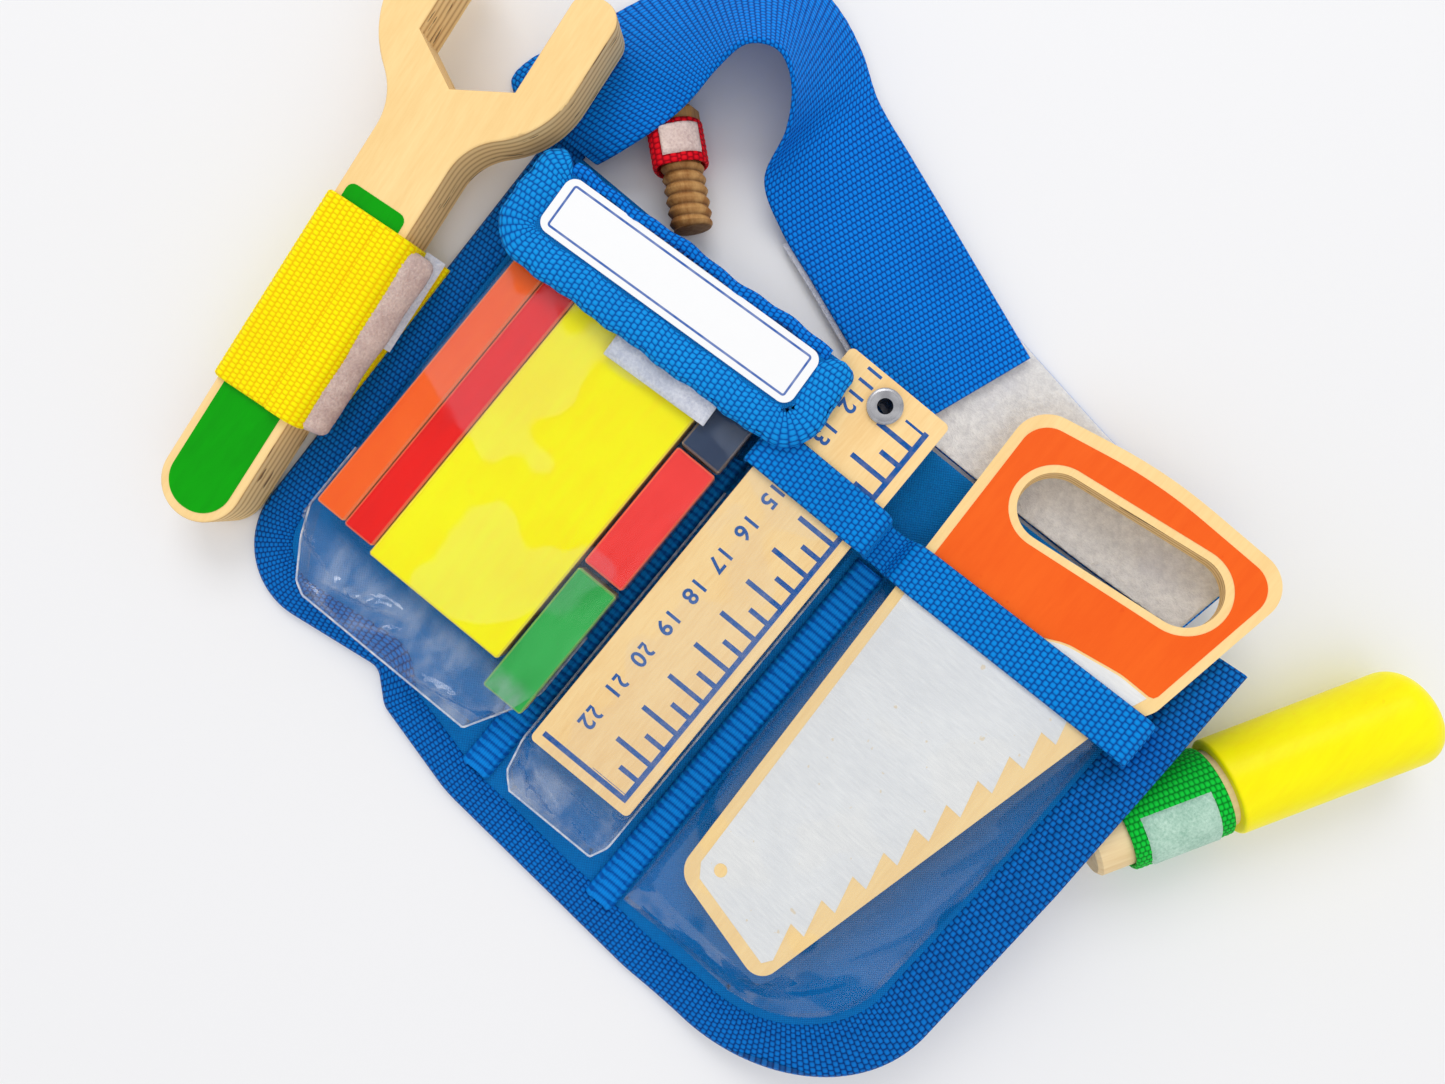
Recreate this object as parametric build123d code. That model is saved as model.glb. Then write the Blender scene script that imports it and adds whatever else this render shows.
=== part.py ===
"""Toy tool belt: a nylon pouch with clear pockets, a waist strap and wooden toy tools.

Millimetres. X runs along the belt, Y up the pouch and Z up off the table. The origin lies on
the flat back of the pouch. The right edge of the pouch rises over the screwdriver.
"""
from build123d import *
from math import atan, cos, degrees, hypot, radians, sin
import os

os.makedirs("parts", exist_ok=True)

# ---- cloth and webbing ----------------------------------------------------------------
PANEL_T = 2.0          # nylon with its backing
BINDING_T = 3.0        # folded binding tape
BINDING_W = 12.5
WEBBING_T = 1.4
VINYL_T = 0.8
STRAP_W = 38.0         # waist strap and its tail

# ---- pouch outline: x, y and corner radius, running down the left and up the right ------
POUCH_TOP = 53.5
POUCH_CORNERS = [        # x, y and corner radius, from the lower left anticlockwise
    (-96.0, -87.2, 21.0),
    (-47.5, -80.5, 5.0),
    (-40.0, -87.2, 6.0),
    (-14.0, -94.0, 40.0),
    (50.0, -100.6, 60.0),
    (111.5, -100.6, 42.0),
    (116.0, -14.0, 60.0),
]
POUCH_TOP_LEFT = -101.0
POUCH_TOP_RIGHT = 118.0

# ---- the rising right edge: an arc tangent to the flat back -----------------------------
RISE_START = 50.0
RISE_RADIUS = 99.4
RISE_SWEEP = 48.0

# ---- blocks in the left pocket: x range and y range --------------------------------------
BLOCK_Z = 3.3
BLOCK_T = 10.0
BLOCKS = {
    "block_orange": (-83.5, -75.0, -55.3, 34.0),
    "block_red": (-74.6, -65.7, -55.6, 34.0),
    "block_yellow": (-65.3, -24.4, -57.4, 32.0),
    "block_navy": (-23.3, -11.4, 12.2, 32.0),
    "block_small_red": (-23.3, -11.4, -25.2, 11.2),
    "block_green": (-23.3, -11.4, -64.4, -27.0),
}
BLOCK_EDGE = 0.5

# ---- pockets ---------------------------------------------------------------------------
BLOCK_POCKET = (-86.0, -10.0, -78.0, 36.0)     # inside: x range, y range
BLOCK_POCKET_TOP = 13.9
SLEEVE = (-7.0, 26.4, -83.0, 18.8)
SLEEVE_TOP = 15.0
DIVIDER_W = 8.5
LEFT_DIVIDER_X = -12.0
RIGHT_DIVIDER_X = 33.5
DIVIDER_T = 1.2
POCKET_MOUTH = 18.8
RIM_W = 12.0
RIM_T = 1.2

# ---- ruler -----------------------------------------------------------------------------
RULER_W = 31.0
RULER_L = 124.0
LEAF_T = 5.0
RULER_X = 9.5
RULER_END = -67.0
RULER_Z = 3.2
RULER_TILT = 1.0
EYELET_R = 4.5
EYELET_TUBE_R = 3.0
EYELET_HOLE_R = 2.0
EYELET_FLANGE = 0.9
EYELET_FROM_TOP = 6.3

# ---- saw -------------------------------------------------------------------------------
SAW_T = 6.0
SAW_X = 40.0
SAW_Z = 3.0
SAW_SLOPE = 0.287
SAW_RISE_T = SAW_T * hypot(1.0, SAW_SLOPE)     # the board's thickness measured straight up
SAW_OUTLINE = [          # across, along and corner radius, in the plane of the board
    (0.0, 76.5, 9.0),
    (5.1, -70.0, 6.0),
    (37.1, -76.4, 5.0),
    (59.4, 19.5, 2.0),
    (67.0, 33.5, 6.0),
    (74.0, 77.0, 9.0),
    (35.0, 81.0, 120.0),
]
SAW_SLOT_CENTRE = (37.3, 59.2)
SAW_SLOT = (53.0, 17.8)
SAW_SLOT_TURN = 4.0

# ---- wrench ----------------------------------------------------------------------------
WRENCH_T = 15.0
WRENCH_JAW = 27.0
WRENCH_HEAD_R = 25.5
WRENCH_TIP = 21.5
WRENCH_HANDLE_W = 20.5
WRENCH_REACH = 137.0           # from the jaw's centre to the end of the handle
WRENCH_CENTRE = (-119.6, 58.0)
WRENCH_TURN = 5.7
WRENCH_TILT = 3.4
WRENCH_END_Z = 0.6
LOOP_W = 52.0
LOOP_FROM_JAW = 77.0           # from the jaw's centre to the middle of the loop
LOOP_GAP = 0.4

# ---- screwdriver -----------------------------------------------------------------------
DRIVER_START = (132.5, 31.0)   # where the handle meets the shaft
DRIVER_AXIS = (0.495, 0.869)
DRIVER_HANDLE_R = 12.0
DRIVER_HANDLE_L = 54.0
DRIVER_SHAFT_R = 9.5
DRIVER_SHAFT_L = 36.0
DRIVER_LOOP_FROM = 2.0
DRIVER_LOOP_W = 25.0
DRIVER_LOOP_R = 9.9

# ---- bolt ------------------------------------------------------------------------------
BOLT_END = (-55.5, 55.6)
BOLT_AXIS = (-0.758, 0.652)    # from the free end towards the head
BOLT_R = 5.5
BOLT_PITCH = 2.8
BOLT_L = 25.5
BOLT_HEAD_R = 6.5
BOLT_HEAD_T = 4.0
BOLT_Z = 7.3
BOLT_LOOP_FROM = 16.5
BOLT_LOOP_W = 8.5
BOLT_LOOP_R = 5.8

# ---- flap ------------------------------------------------------------------------------
FLAP_CENTRE = (-46.0, 36.3)
FLAP_SIZE = (93.0, 27.0)
FLAP_TURN = 3.5
FLAP_Z = 16.8
FLAP_T = 1.2
FLAP_BINDING = 9.0
FLAP_CORNER_R = 7.0
FLAP_BINDING_T = 2.2
LABEL_SIZE = (74.5, 15.0)
LABEL_T = 0.7
LABEL_UP = 3.6
PATCH_T = 0.6
FLAP_PATCH_CENTRE = (-37.0, 25.5)

# ---- waist strap: the inner and outer edge at each station, from the free end -----------
TAIL_T = 2.6                   # tail webbing with its loop tape
HOOK_TAPE_T = 0.8
STRAP_Z = TAIL_T + HOOK_TAPE_T
STRAP_END = (17.7, 50.0)
STRAP_AXIS = (-0.94, 0.341)
STRAP_STATIONS = [
    ((-38.7, 70.4, STRAP_Z), (-25.8, 106.1, STRAP_Z)),
    ((-49.5, 76.0, 9.0), (-41.0, 112.0, 2.0)),
    ((-51.5, 86.0, 18.0), (-53.0, 119.0, 2.0)),
    ((-56.0, 93.0, 24.0), (-65.0, 123.0, 3.0)),
    ((-62.5, 96.0, 27.0), (-80.0, 124.0, 4.0)),
    ((-69.0, 92.5, 27.0), (-93.0, 115.0, 3.0)),
    ((-72.0, 85.5, 22.0), (-102.0, 98.0, 1.0)),
    ((-73.0, 79.0, 18.5), (-109.0, 82.0, 0.6)),
    ((-74.5, 73.0, 15.6), (-113.0, 72.0, 0.6)),
    ((-77.0, 66.0, 13.5), (-116.5, 64.0, 0.6)),
    ((-81.0, 59.0, 9.0), (-117.0, 57.5, 0.6)),
    ((-85.0, 54.0, 4.0), (-112.0, 54.0, 0.6)),
]
HOOK_TAPE_L = 56.0
HOOK_TAPE_PEEK = 1.5


def save(node, shape):
    """Write one sub-part."""
    export_step(shape, f"parts/{node}.step")


def polygon(corners):
    """A closed face from corners given as (x, y) or, with a rounded corner, (x, y, radius)."""
    outline = Face(Wire(Polyline([corner[:2] for corner in corners], close=True).edges()))
    for corner in corners:
        if len(corner) == 3:
            spot = Vector(corner[0], corner[1], 0)
            near = outline.vertices().sort_by_distance(spot)[0]
            outline = outline.fillet_2d(corner[2], [near])
    return outline


def box_between(low, high):
    """A box from its lowest corner to its highest corner."""
    size = [b - a for a, b in zip(low, high)]
    middle = [(a + b) / 2 for a, b in zip(low, high)]
    return Pos(*middle) * Box(*size)


def thick_path(points, thickness):
    """A face of one thickness along an open path, on the left of its direction."""
    count = len(points)
    directions = []
    for (x0, y0), (x1, y1) in zip(points[:-1], points[1:]):
        length = hypot(x1 - x0, y1 - y0)
        directions.append(((x1 - x0) / length, (y1 - y0) / length))
    far = []
    for index in range(count):
        before = directions[max(index - 1, 0)]
        after = directions[min(index, count - 2)]
        nx = -(before[1] + after[1]) / 2
        ny = (before[0] + after[0]) / 2
        scale = thickness / (nx * nx + ny * ny)
        far.append((points[index][0] + nx * scale, points[index][1] + ny * scale))
    return Face(Wire(Polyline(list(points) + far[::-1], close=True).edges()))


def along_y(section, y_low, y_high):
    """Stretch a section drawn as (x, z) from one y to another."""
    standing = Pos(0, y_high, 0) * Rot(90, 0, 0) * section
    return extrude(standing, y_high - y_low, dir=(0, -1, 0))


def rise_band(low, high):
    """The space between two heights above the pouch's back, following its rising edge."""
    reach = 130.0
    centre = (RISE_START, RISE_RADIUS)

    def on_arc(radius, angle):
        return (centre[0] + radius * sin(radians(angle)), centre[1] - radius * cos(radians(angle)))

    outer = RISE_RADIUS - low
    inner = RISE_RADIUS - high
    edges = [
        Line((-reach, low), (RISE_START, low)),
        ThreePointArc((RISE_START, low), on_arc(outer, RISE_SWEEP / 2), on_arc(outer, RISE_SWEEP)),
        Line(on_arc(outer, RISE_SWEEP), on_arc(inner, RISE_SWEEP)),
        ThreePointArc(on_arc(inner, RISE_SWEEP), on_arc(inner, RISE_SWEEP / 2), (RISE_START, high)),
        Line((RISE_START, high), (-reach, high)),
        Line((-reach, high), (-reach, low)),
    ]
    section = Face(Wire([edge.edge() for edge in edges]))
    return along_y(section, -reach, reach)


def draped(plan, low, high):
    """A plan shape laid on the pouch between two heights above its back."""
    return extrude(Pos(0, 0, -5) * plan, 75) & rise_band(low, high)


def saw_underside(x):
    """The height of the tilted board's underside at an x."""
    return SAW_Z + SAW_SLOPE * (x - SAW_X)


def pouch_plan(inset):
    """The pouch's outline, open at the top edge, drawn in from the sides by an inset."""
    above = POUCH_TOP + 40.0
    corners = [(POUCH_TOP_LEFT, above)] + POUCH_CORNERS + [(POUCH_TOP_RIGHT, above)]
    outline = polygon(corners)
    if inset:
        outline = offset(outline, -inset).face()
    cut = Pos(0, POUCH_TOP - 100.0) * Rectangle(400.0, 200.0)
    return (outline & cut).face()


# ---- pouch ------------------------------------------------------------------------------
inner_plan = pouch_plan(BINDING_W)
outer_plan = pouch_plan(0.0)
flap_top = Pos(*FLAP_CENTRE) * Rot(0, 0, FLAP_TURN) * Pos(0, FLAP_SIZE[1] / 2)


binding = draped((outer_plan - inner_plan).face(), 0.0, BINDING_T)


def pouch_panel():
    """The nylon back, turned up behind the blocks to carry the flap."""
    flat = draped(inner_plan, 0.0, PANEL_T) - binding
    riser_height = FLAP_Z - PANEL_T - 0.2
    riser = flap_top * Pos(-1.5, -0.7, PANEL_T + riser_height / 2) * Box(75.0, 1.2, riser_height)
    return flat + riser


def divider(x, low):
    plan = Pos(x, (low + POCKET_MOUTH) / 2) * Rectangle(DIVIDER_W, POCKET_MOUTH - low)
    return draped((plan & inner_plan).face(), PANEL_T, PANEL_T + DIVIDER_T)


divider_left = divider(LEFT_DIVIDER_X, -100.0)
divider_right = divider(RIGHT_DIVIDER_X, -110.0)
save("pouch_panel", pouch_panel())
save("panel_binding", binding)
save("divider_tape_left", divider_left)
save("divider_tape_right", divider_right)


# ---- clear pockets ------------------------------------------------------------------------
def tray(x_low, x_high, y_low, y_high, top):
    """A clear pocket: a sheet over the tools and three walls, open at the mouth and behind."""
    wall = VINYL_T
    outside = box_between((x_low - wall, y_low - wall, PANEL_T), (x_high + wall, y_high, top + wall))
    inside = box_between((x_low, y_low, 0.0), (x_high, y_high + 1.0, top))
    return outside - inside - divider_left - divider_right - binding


def saw_pocket():
    """The clear pocket over the blade: its sheet runs parallel to the tilted board."""
    left = RIGHT_DIVIDER_X + DIVIDER_W / 2 + 0.6
    right = 102.0
    clearance = SAW_RISE_T + 0.5 + VINYL_T
    over = [(left, -1.0), (left, saw_underside(left) + clearance),
            (right, saw_underside(right) + clearance), (right + 1.4, -1.0)]
    outer_section = Face(Wire(Polyline(over, close=True).edges()))
    inner_section = offset(outer_section, -VINYL_T).face()
    inner_plan_small = pouch_plan(BINDING_W + 2.0 + VINYL_T)
    outer_plan_small = pouch_plan(BINDING_W + 2.0)
    outside = along_y(outer_section, -110.0, POCKET_MOUTH) & extrude(outer_plan_small, 60)
    inside = along_y(inner_section, -110.0, POCKET_MOUTH + 1) & extrude(Pos(0, 0, -5) * inner_plan_small, 70)
    return outside - inside - rise_band(-40.0, PANEL_T)


save("block_pocket", tray(*BLOCK_POCKET, BLOCK_POCKET_TOP))
save("ruler_sleeve", tray(*SLEEVE, SLEEVE_TOP))
save("saw_pocket", saw_pocket())

# The band over the two right-hand pockets dips to the divider between them.
rim_low = 25.0 - RIM_W / 2
band_over_saw = SAW_RISE_T + 0.4
rim_path = [
    (-7.9, PANEL_T), (-7.9, 15.3), (27.4, 15.3), (29.6, PANEL_T + DIVIDER_T + 0.1),
    (36.8, PANEL_T + DIVIDER_T + 0.1), (38.6, saw_underside(38.6) + band_over_saw),
    (104.6, saw_underside(104.6) + band_over_saw), (105.4, 22.0),
]
save("pocket_rim_band", along_y(thick_path(rim_path, RIM_T), rim_low, rim_low + RIM_W))

# ---- blocks -------------------------------------------------------------------------------
for name, (x_low, x_high, y_low, y_high) in BLOCKS.items():
    block = box_between((x_low, y_low, BLOCK_Z), (x_high, y_high, BLOCK_Z + BLOCK_T))
    save(name, chamfer(block.edges(), BLOCK_EDGE))

# ---- ruler --------------------------------------------------------------------------------
ruler_place = Pos(RULER_X, RULER_END, RULER_Z) * Rot(RULER_TILT, 0, 0)
eyelet_y = RULER_L - EYELET_FROM_TOP


def leaf(level, recessed):
    """One leaf of the ruler; the lower one is recessed so that the eyelet lies flush."""
    board = Pos(0, RULER_L / 2, level + LEAF_T / 2) * Box(RULER_W, RULER_L, LEAF_T)
    board = fillet(board.edges().filter_by(Axis.Z), 1.5)
    hole = Pos(0, eyelet_y, level + LEAF_T / 2) * Cylinder(EYELET_TUBE_R + 0.05, LEAF_T + 1)
    board = board - hole
    if recessed:
        board = board - Pos(0, eyelet_y, EYELET_FLANGE / 2) * Cylinder(EYELET_R + 0.1, EYELET_FLANGE + 0.2)
    return board


def eyelet():
    """A rolled steel eyelet: a tube with a flange at each face of the folded ruler."""
    height = 2 * LEAF_T
    tube = Pos(0, 0, height / 2) * Cylinder(EYELET_TUBE_R, height)
    top = Pos(0, 0, height + EYELET_FLANGE / 2) * Cylinder(EYELET_R, EYELET_FLANGE)
    low = Pos(0, 0, EYELET_FLANGE / 2) * Cylinder(EYELET_R, EYELET_FLANGE)
    bore = Pos(0, 0, height / 2) * Cylinder(EYELET_HOLE_R, 2 * height)
    return Pos(0, eyelet_y, 0) * (tube + top + low - bore)


save("ruler_lower_leaf", ruler_place * leaf(0.0, True))
save("ruler_upper_leaf", ruler_place * leaf(LEAF_T, False))
save("ruler_eyelet", ruler_place * eyelet())


# ---- saw ----------------------------------------------------------------------------------
def saw_board():
    outline = polygon(SAW_OUTLINE)
    slot = Pos(*SAW_SLOT_CENTRE) * Rot(0, 0, SAW_SLOT_TURN) * SlotOverall(*SAW_SLOT)
    board = extrude(outline - slot, SAW_T)
    tilt = degrees(atan(SAW_SLOPE))
    return Pos(SAW_X, 0, SAW_Z) * Rot(0, -tilt, 0) * board


save("saw_board", saw_board())

# ---- wrench and its loop --------------------------------------------------------------------
wrench_rise = WRENCH_REACH * sin(radians(WRENCH_TILT))
wrench_place = (Pos(*WRENCH_CENTRE, WRENCH_END_Z + wrench_rise) * Rot(0, 0, WRENCH_TURN)
                * Rot(WRENCH_TILT, 0, 0))


def wrench_board():
    """An open jaw with straight prongs on a round-ended handle."""
    radius = WRENCH_HANDLE_W / 2
    head = Circle(WRENCH_HEAD_R) + Pos(0, WRENCH_TIP / 2) * Rectangle(2 * WRENCH_HEAD_R, WRENCH_TIP)
    head = head & Pos(0, WRENCH_TIP - 50) * Rectangle(100, 100)
    length = WRENCH_REACH - radius
    handle = Pos(0, -length / 2) * Rectangle(WRENCH_HANDLE_W, length) + Pos(0, -length) * Circle(radius)
    outline = (head + handle).face()
    neck = [v for v in outline.vertices() if abs(abs(v.X) - radius) < 0.1 and -30 < v.Y < -15]
    outline = outline.fillet_2d(16.0, neck)
    half = WRENCH_JAW / 2
    side = half / sin(radians(60))
    jaw = polygon([(0, -side), (half, -side / 2), (half, 40), (-half, 40), (-half, -side / 2)])
    outline = (outline - jaw).face()
    tips = [v for v in outline.vertices() if v.Y > WRENCH_TIP - 0.1]
    outline = outline.fillet_2d(5.0, tips)
    board = extrude(outline, WRENCH_T)
    return fillet(board.faces().sort_by(Axis.Z)[0].edges() + board.faces().sort_by(Axis.Z)[-1].edges(), 0.6)


def wrench_loop():
    """Wide webbing round the handle, with a tab that is sewn under the pouch's left edge."""
    inner_w = WRENCH_HANDLE_W + 2 * LOOP_GAP
    inner_t = WRENCH_T + 2 * LOOP_GAP
    ring = (Rectangle(inner_w + 2 * WEBBING_T, inner_t + 2 * WEBBING_T) - Rectangle(inner_w, inner_t)).face()
    standing = Pos(0, LOOP_W / 2, WRENCH_T / 2) * Rot(90, 0, 0) * ring
    return wrench_place * Pos(0, -LOOP_FROM_JAW, 0) * extrude(standing, LOOP_W, dir=(0, -1, 0))


def wrench_tab():
    """The end of the loop's webbing, between the loop and the pouch's left edge."""
    start = WRENCH_HANDLE_W / 2 + LOOP_GAP + WEBBING_T / 4
    level = -LOOP_GAP - WEBBING_T / 2
    tab = Pos(start + 9.0, -LOOP_FROM_JAW, level) * Box(18.0, LOOP_W, WEBBING_T)
    return wrench_place * tab - extrude(outer_plan, 10)


def wrench_hook_strip():
    side = WRENCH_HANDLE_W / 2 + LOOP_GAP + WEBBING_T
    strip = Pos(side + 0.8, -LOOP_FROM_JAW, WRENCH_T / 2 + 1.0) * Box(1.5, LOOP_W, 11.0)
    return wrench_place * strip


save("wrench_board", wrench_place * wrench_board())
save("wrench_loop", wrench_loop() + wrench_tab())
save("wrench_hook_strip", wrench_hook_strip())

# ---- screwdriver and its loop -----------------------------------------------------------------
driver_plane = Plane(origin=(*DRIVER_START, DRIVER_HANDLE_R), x_dir=(0, 0, 1), z_dir=(*DRIVER_AXIS, 0))


def driver_rod(radius, start, length):
    return driver_plane * Pos(0, 0, start + length / 2) * Cylinder(radius, length)


def driver_handle():
    handle = driver_rod(DRIVER_HANDLE_R, 0.0, DRIVER_HANDLE_L)
    far_rim = handle.edges().filter_by(GeomType.CIRCLE).sort_by(Axis.Y)[-1]
    handle = fillet(far_rim, 7.0)
    near_rim = handle.edges().filter_by(GeomType.CIRCLE).sort_by(Axis.Y)[0]
    return fillet(near_rim, 0.8)


def driver_shaft():
    shaft = driver_rod(DRIVER_SHAFT_R, -DRIVER_SHAFT_L, DRIVER_SHAFT_L)
    return chamfer(shaft.edges().filter_by(GeomType.CIRCLE).sort_by(Axis.Y)[0], 1.0)


def driver_loop():
    start = -DRIVER_LOOP_FROM - DRIVER_LOOP_W
    hole = driver_rod(DRIVER_LOOP_R, -60.0, 60.0)
    ring = driver_rod(DRIVER_LOOP_R + WEBBING_T, start, DRIVER_LOOP_W)
    tab_plan = Pos(113.0, 15.0) * Rot(0, 0, -30) * Rectangle(12.0, 20.0)
    tab = draped((tab_plan & outer_plan).face(), -WEBBING_T, -0.02)
    return ring + tab - hole


def driver_patch():
    inner = DRIVER_LOOP_R + WEBBING_T
    start = -DRIVER_LOOP_FROM - DRIVER_LOOP_W / 2 - 9.0
    patch = driver_rod(inner + 0.8, start, 18.0) - driver_rod(inner, start - 1, 20.0)
    keep = driver_plane * Pos(9.0, 4.0, start + 9.0) * Box(9.0, 17.0, 30.0)
    return patch & keep


save("screwdriver_handle", driver_handle())
save("screwdriver_shaft", driver_shaft())
save("screwdriver_loop", driver_loop())
save("screwdriver_loop_patch", driver_patch())

# ---- bolt and its loop ------------------------------------------------------------------------
bolt_plane = Plane(origin=(*BOLT_END, BOLT_Z), x_dir=(0, 0, 1), z_dir=(*BOLT_AXIS, 0))


def bolt():
    """A turned wooden bolt: a grooved shank and a round head."""
    step = BOLT_PITCH / 2
    depth = 0.7
    turns = int(BOLT_L / BOLT_PITCH)
    points = [(0, 0), (BOLT_R - depth, 0)]
    for turn in range(turns):
        points.append((BOLT_R, turn * BOLT_PITCH + step))
        points.append((BOLT_R - depth, (turn + 1) * BOLT_PITCH))
    points += [(BOLT_R - depth, BOLT_L), (BOLT_HEAD_R, BOLT_L), (BOLT_HEAD_R, BOLT_L + BOLT_HEAD_T),
               (0, BOLT_L + BOLT_HEAD_T)]
    profile = Face(Wire(Polyline(points, close=True).edges()))
    return bolt_plane * revolve(Rot(90, 0, 0) * profile, Axis.Z)


def bolt_ring(inner, outer, start, length):
    ring = Cylinder(outer, length) - Cylinder(inner, length + 1)
    return bolt_plane * Pos(0, 0, start + length / 2) * ring


def bolt_patch():
    inner = BOLT_LOOP_R + WEBBING_T
    ring = bolt_ring(inner, inner + PATCH_T, BOLT_LOOP_FROM + 1.0, BOLT_LOOP_W - 2.0)
    keep = bolt_plane * Pos(6.0, 0, BOLT_LOOP_FROM + 5.0) * Box(8.0, 11.0, 30.0)
    return ring & keep


save("bolt", bolt())
save("bolt_loop", bolt_ring(BOLT_LOOP_R, BOLT_LOOP_R + WEBBING_T, BOLT_LOOP_FROM, BOLT_LOOP_W))
save("bolt_loop_patch", bolt_patch())

# ---- flap ---------------------------------------------------------------------------------------
flap_place = Pos(*FLAP_CENTRE) * Rot(0, 0, FLAP_TURN)


def flap_outline(inset):
    width = FLAP_SIZE[0] - 2 * inset
    height = FLAP_SIZE[1] - inset
    outline = Rectangle(width, height).face()
    lower = outline.vertices().sort_by(Axis.Y)[:2]
    outline = outline.fillet_2d(max(FLAP_CORNER_R - inset, 1.5), lower)
    return flap_place * Pos(0, inset / 2) * outline


def flap_level(plan, low, high):
    return extrude(Pos(0, 0, FLAP_Z + low) * plan, high - low)


border = (flap_outline(0.0) - flap_outline(FLAP_BINDING)).face()
save("flap_panel", flap_level(flap_outline(FLAP_BINDING), 0.5, 0.5 + FLAP_T))
save("flap_binding", flap_level(border, 0.0, FLAP_BINDING_T))
label_plan = flap_place * Pos(0, LABEL_UP) * RectangleRounded(*LABEL_SIZE, 3.0)
save("label_card", flap_level(label_plan, 0.5 + FLAP_T, 0.5 + FLAP_T + LABEL_T))
top_tape = flap_place * Pos(0, FLAP_SIZE[1] / 2 - 1.1) * Rectangle(74.6, 2.1)
save("flap_top_tape", flap_level(top_tape, 0.5 + FLAP_T, 0.5 + FLAP_T + 1.0))

# ---- waist strap and tail -------------------------------------------------------------------------
strap_dir = Vector(*STRAP_AXIS).normalized()
strap_across = Vector(-strap_dir.Y, strap_dir.X).normalized() * -STRAP_W


def strap_station(distance):
    """The inner and outer edge of the flat stretch, so far from the strap's free end."""
    inner = Vector(*STRAP_END, STRAP_Z) + strap_dir * distance
    return inner, inner + strap_across


def waist_strap():
    """A ruled ribbon through the stations, as thick as the webbing."""
    stations = [strap_station(0.0), strap_station(30.0)]
    stations += [(Vector(*inner), Vector(*outer)) for inner, outer in STRAP_STATIONS]
    sections = []
    for index, (inner, outer) in enumerate(stations):
        before = stations[max(index - 1, 0)]
        after = stations[min(index + 1, len(stations) - 1)]
        along = (after[0] + after[1] - before[0] - before[1]).normalized()
        up = (outer - inner).cross(along).normalized() * WEBBING_T
        if up.Z < 0:
            up = up * -1
        corners = [inner, outer, outer + up, inner + up]
        sections.append(Face(Wire(Polyline(corners, close=True).edges())))
    return loft(sections, ruled=True)


def strap_plate(start, length, peek, low, high):
    """A flat strip under the end of the strap."""
    inner, outer = strap_station(start)
    far_inner, far_outer = strap_station(start + length)
    shift = strap_across.normalized() * -peek
    corners = [inner + shift, outer + shift, far_outer + shift, far_inner + shift]
    flat = Face(Wire(Polyline([(c.X, c.Y) for c in corners], close=True).edges()))
    return extrude(Pos(0, 0, low) * flat, high - low)


def tail_strip(low, high, inset):
    """The tail, cut off where it goes behind the pouch's top edge."""
    strip = Pos(49.0, 66.0) * Rot(0, 0, -8.6) * Rectangle(104.0, STRAP_W - 2 * inset)
    beyond = Pos(50.0, POUCH_TOP + 0.02 + 50.0) * Rectangle(200.0, 100.0)
    return draped((strip & beyond).face(), low, high)


save("waist_strap", waist_strap())
save("strap_hook_tape", strap_plate(1.0, HOOK_TAPE_L, HOOK_TAPE_PEEK, TAIL_T, STRAP_Z))
save("strap_tail", tail_strip(0.0, WEBBING_T, 0.0))
save("tail_loop_tape", tail_strip(WEBBING_T, TAIL_T, 1.0))

# ---- hook-and-loop patches of the flap ------------------------------------------------------------
hook_plan = flap_place * Pos(8.0, 0.0) * Rectangle(30.0, 8.0)
save("flap_hook_patch", flap_level(hook_plan, 0.5 - PATCH_T, 0.5))
loop_plan = Pos(*FLAP_PATCH_CENTRE) * Rot(0, 0, FLAP_TURN) * Rectangle(30.0, 16.0)
pocket_top = BLOCK_POCKET_TOP + VINYL_T
save("pocket_loop_patch", extrude(Pos(0, 0, pocket_top) * loop_plan, PATCH_T))
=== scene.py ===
# %% [markdown]
# # A toy tool belt, seen from straight above
# The CAD parts are the fixed frame: they give every size and place, and they carry the motion.
# This script gives each of them its finish, and replaces the plain cloth, webbing and film with
# modelled ones.

# %% Load the frame
from math import atan, cos, hypot, pi, radians, sin

import bpy
import numpy as np
from mathutils import Matrix, Vector


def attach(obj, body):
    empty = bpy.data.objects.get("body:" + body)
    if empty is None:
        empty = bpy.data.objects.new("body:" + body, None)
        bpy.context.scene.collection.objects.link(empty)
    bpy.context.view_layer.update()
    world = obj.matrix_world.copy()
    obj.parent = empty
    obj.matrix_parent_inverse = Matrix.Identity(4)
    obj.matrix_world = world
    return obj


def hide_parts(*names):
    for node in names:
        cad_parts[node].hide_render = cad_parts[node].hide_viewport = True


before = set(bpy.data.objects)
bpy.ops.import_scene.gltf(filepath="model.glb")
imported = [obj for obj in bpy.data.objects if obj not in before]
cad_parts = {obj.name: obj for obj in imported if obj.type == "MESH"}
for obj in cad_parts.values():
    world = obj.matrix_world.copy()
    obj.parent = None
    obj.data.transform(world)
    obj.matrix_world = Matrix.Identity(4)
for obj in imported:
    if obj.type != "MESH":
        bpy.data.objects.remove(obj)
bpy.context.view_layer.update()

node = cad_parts
MM = 0.001

# %% [markdown]
# ## Camera, floor and light
# The belt lies on a white table. The camera hangs straight above it, close enough that the
# sides of the thick tools show, and is turned so that the belt runs across the frame from the
# top left. The light is one big soft panel with a weaker one opposite, so shadows stay faint.

# %% The camera
CAMERA_HEIGHT = 0.275
LENS = 26.6
BELT_TURN = radians(39.5)

camera_data = bpy.data.cameras.new("camera")
camera_data.lens = LENS
camera_data.clip_start = 0.005
camera = bpy.data.objects.new("camera", camera_data)
camera.location = (0, 0, CAMERA_HEIGHT)
camera.rotation_euler = (0, 0, BELT_TURN)
bpy.context.scene.collection.objects.link(camera)
bpy.context.scene.camera = camera

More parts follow.
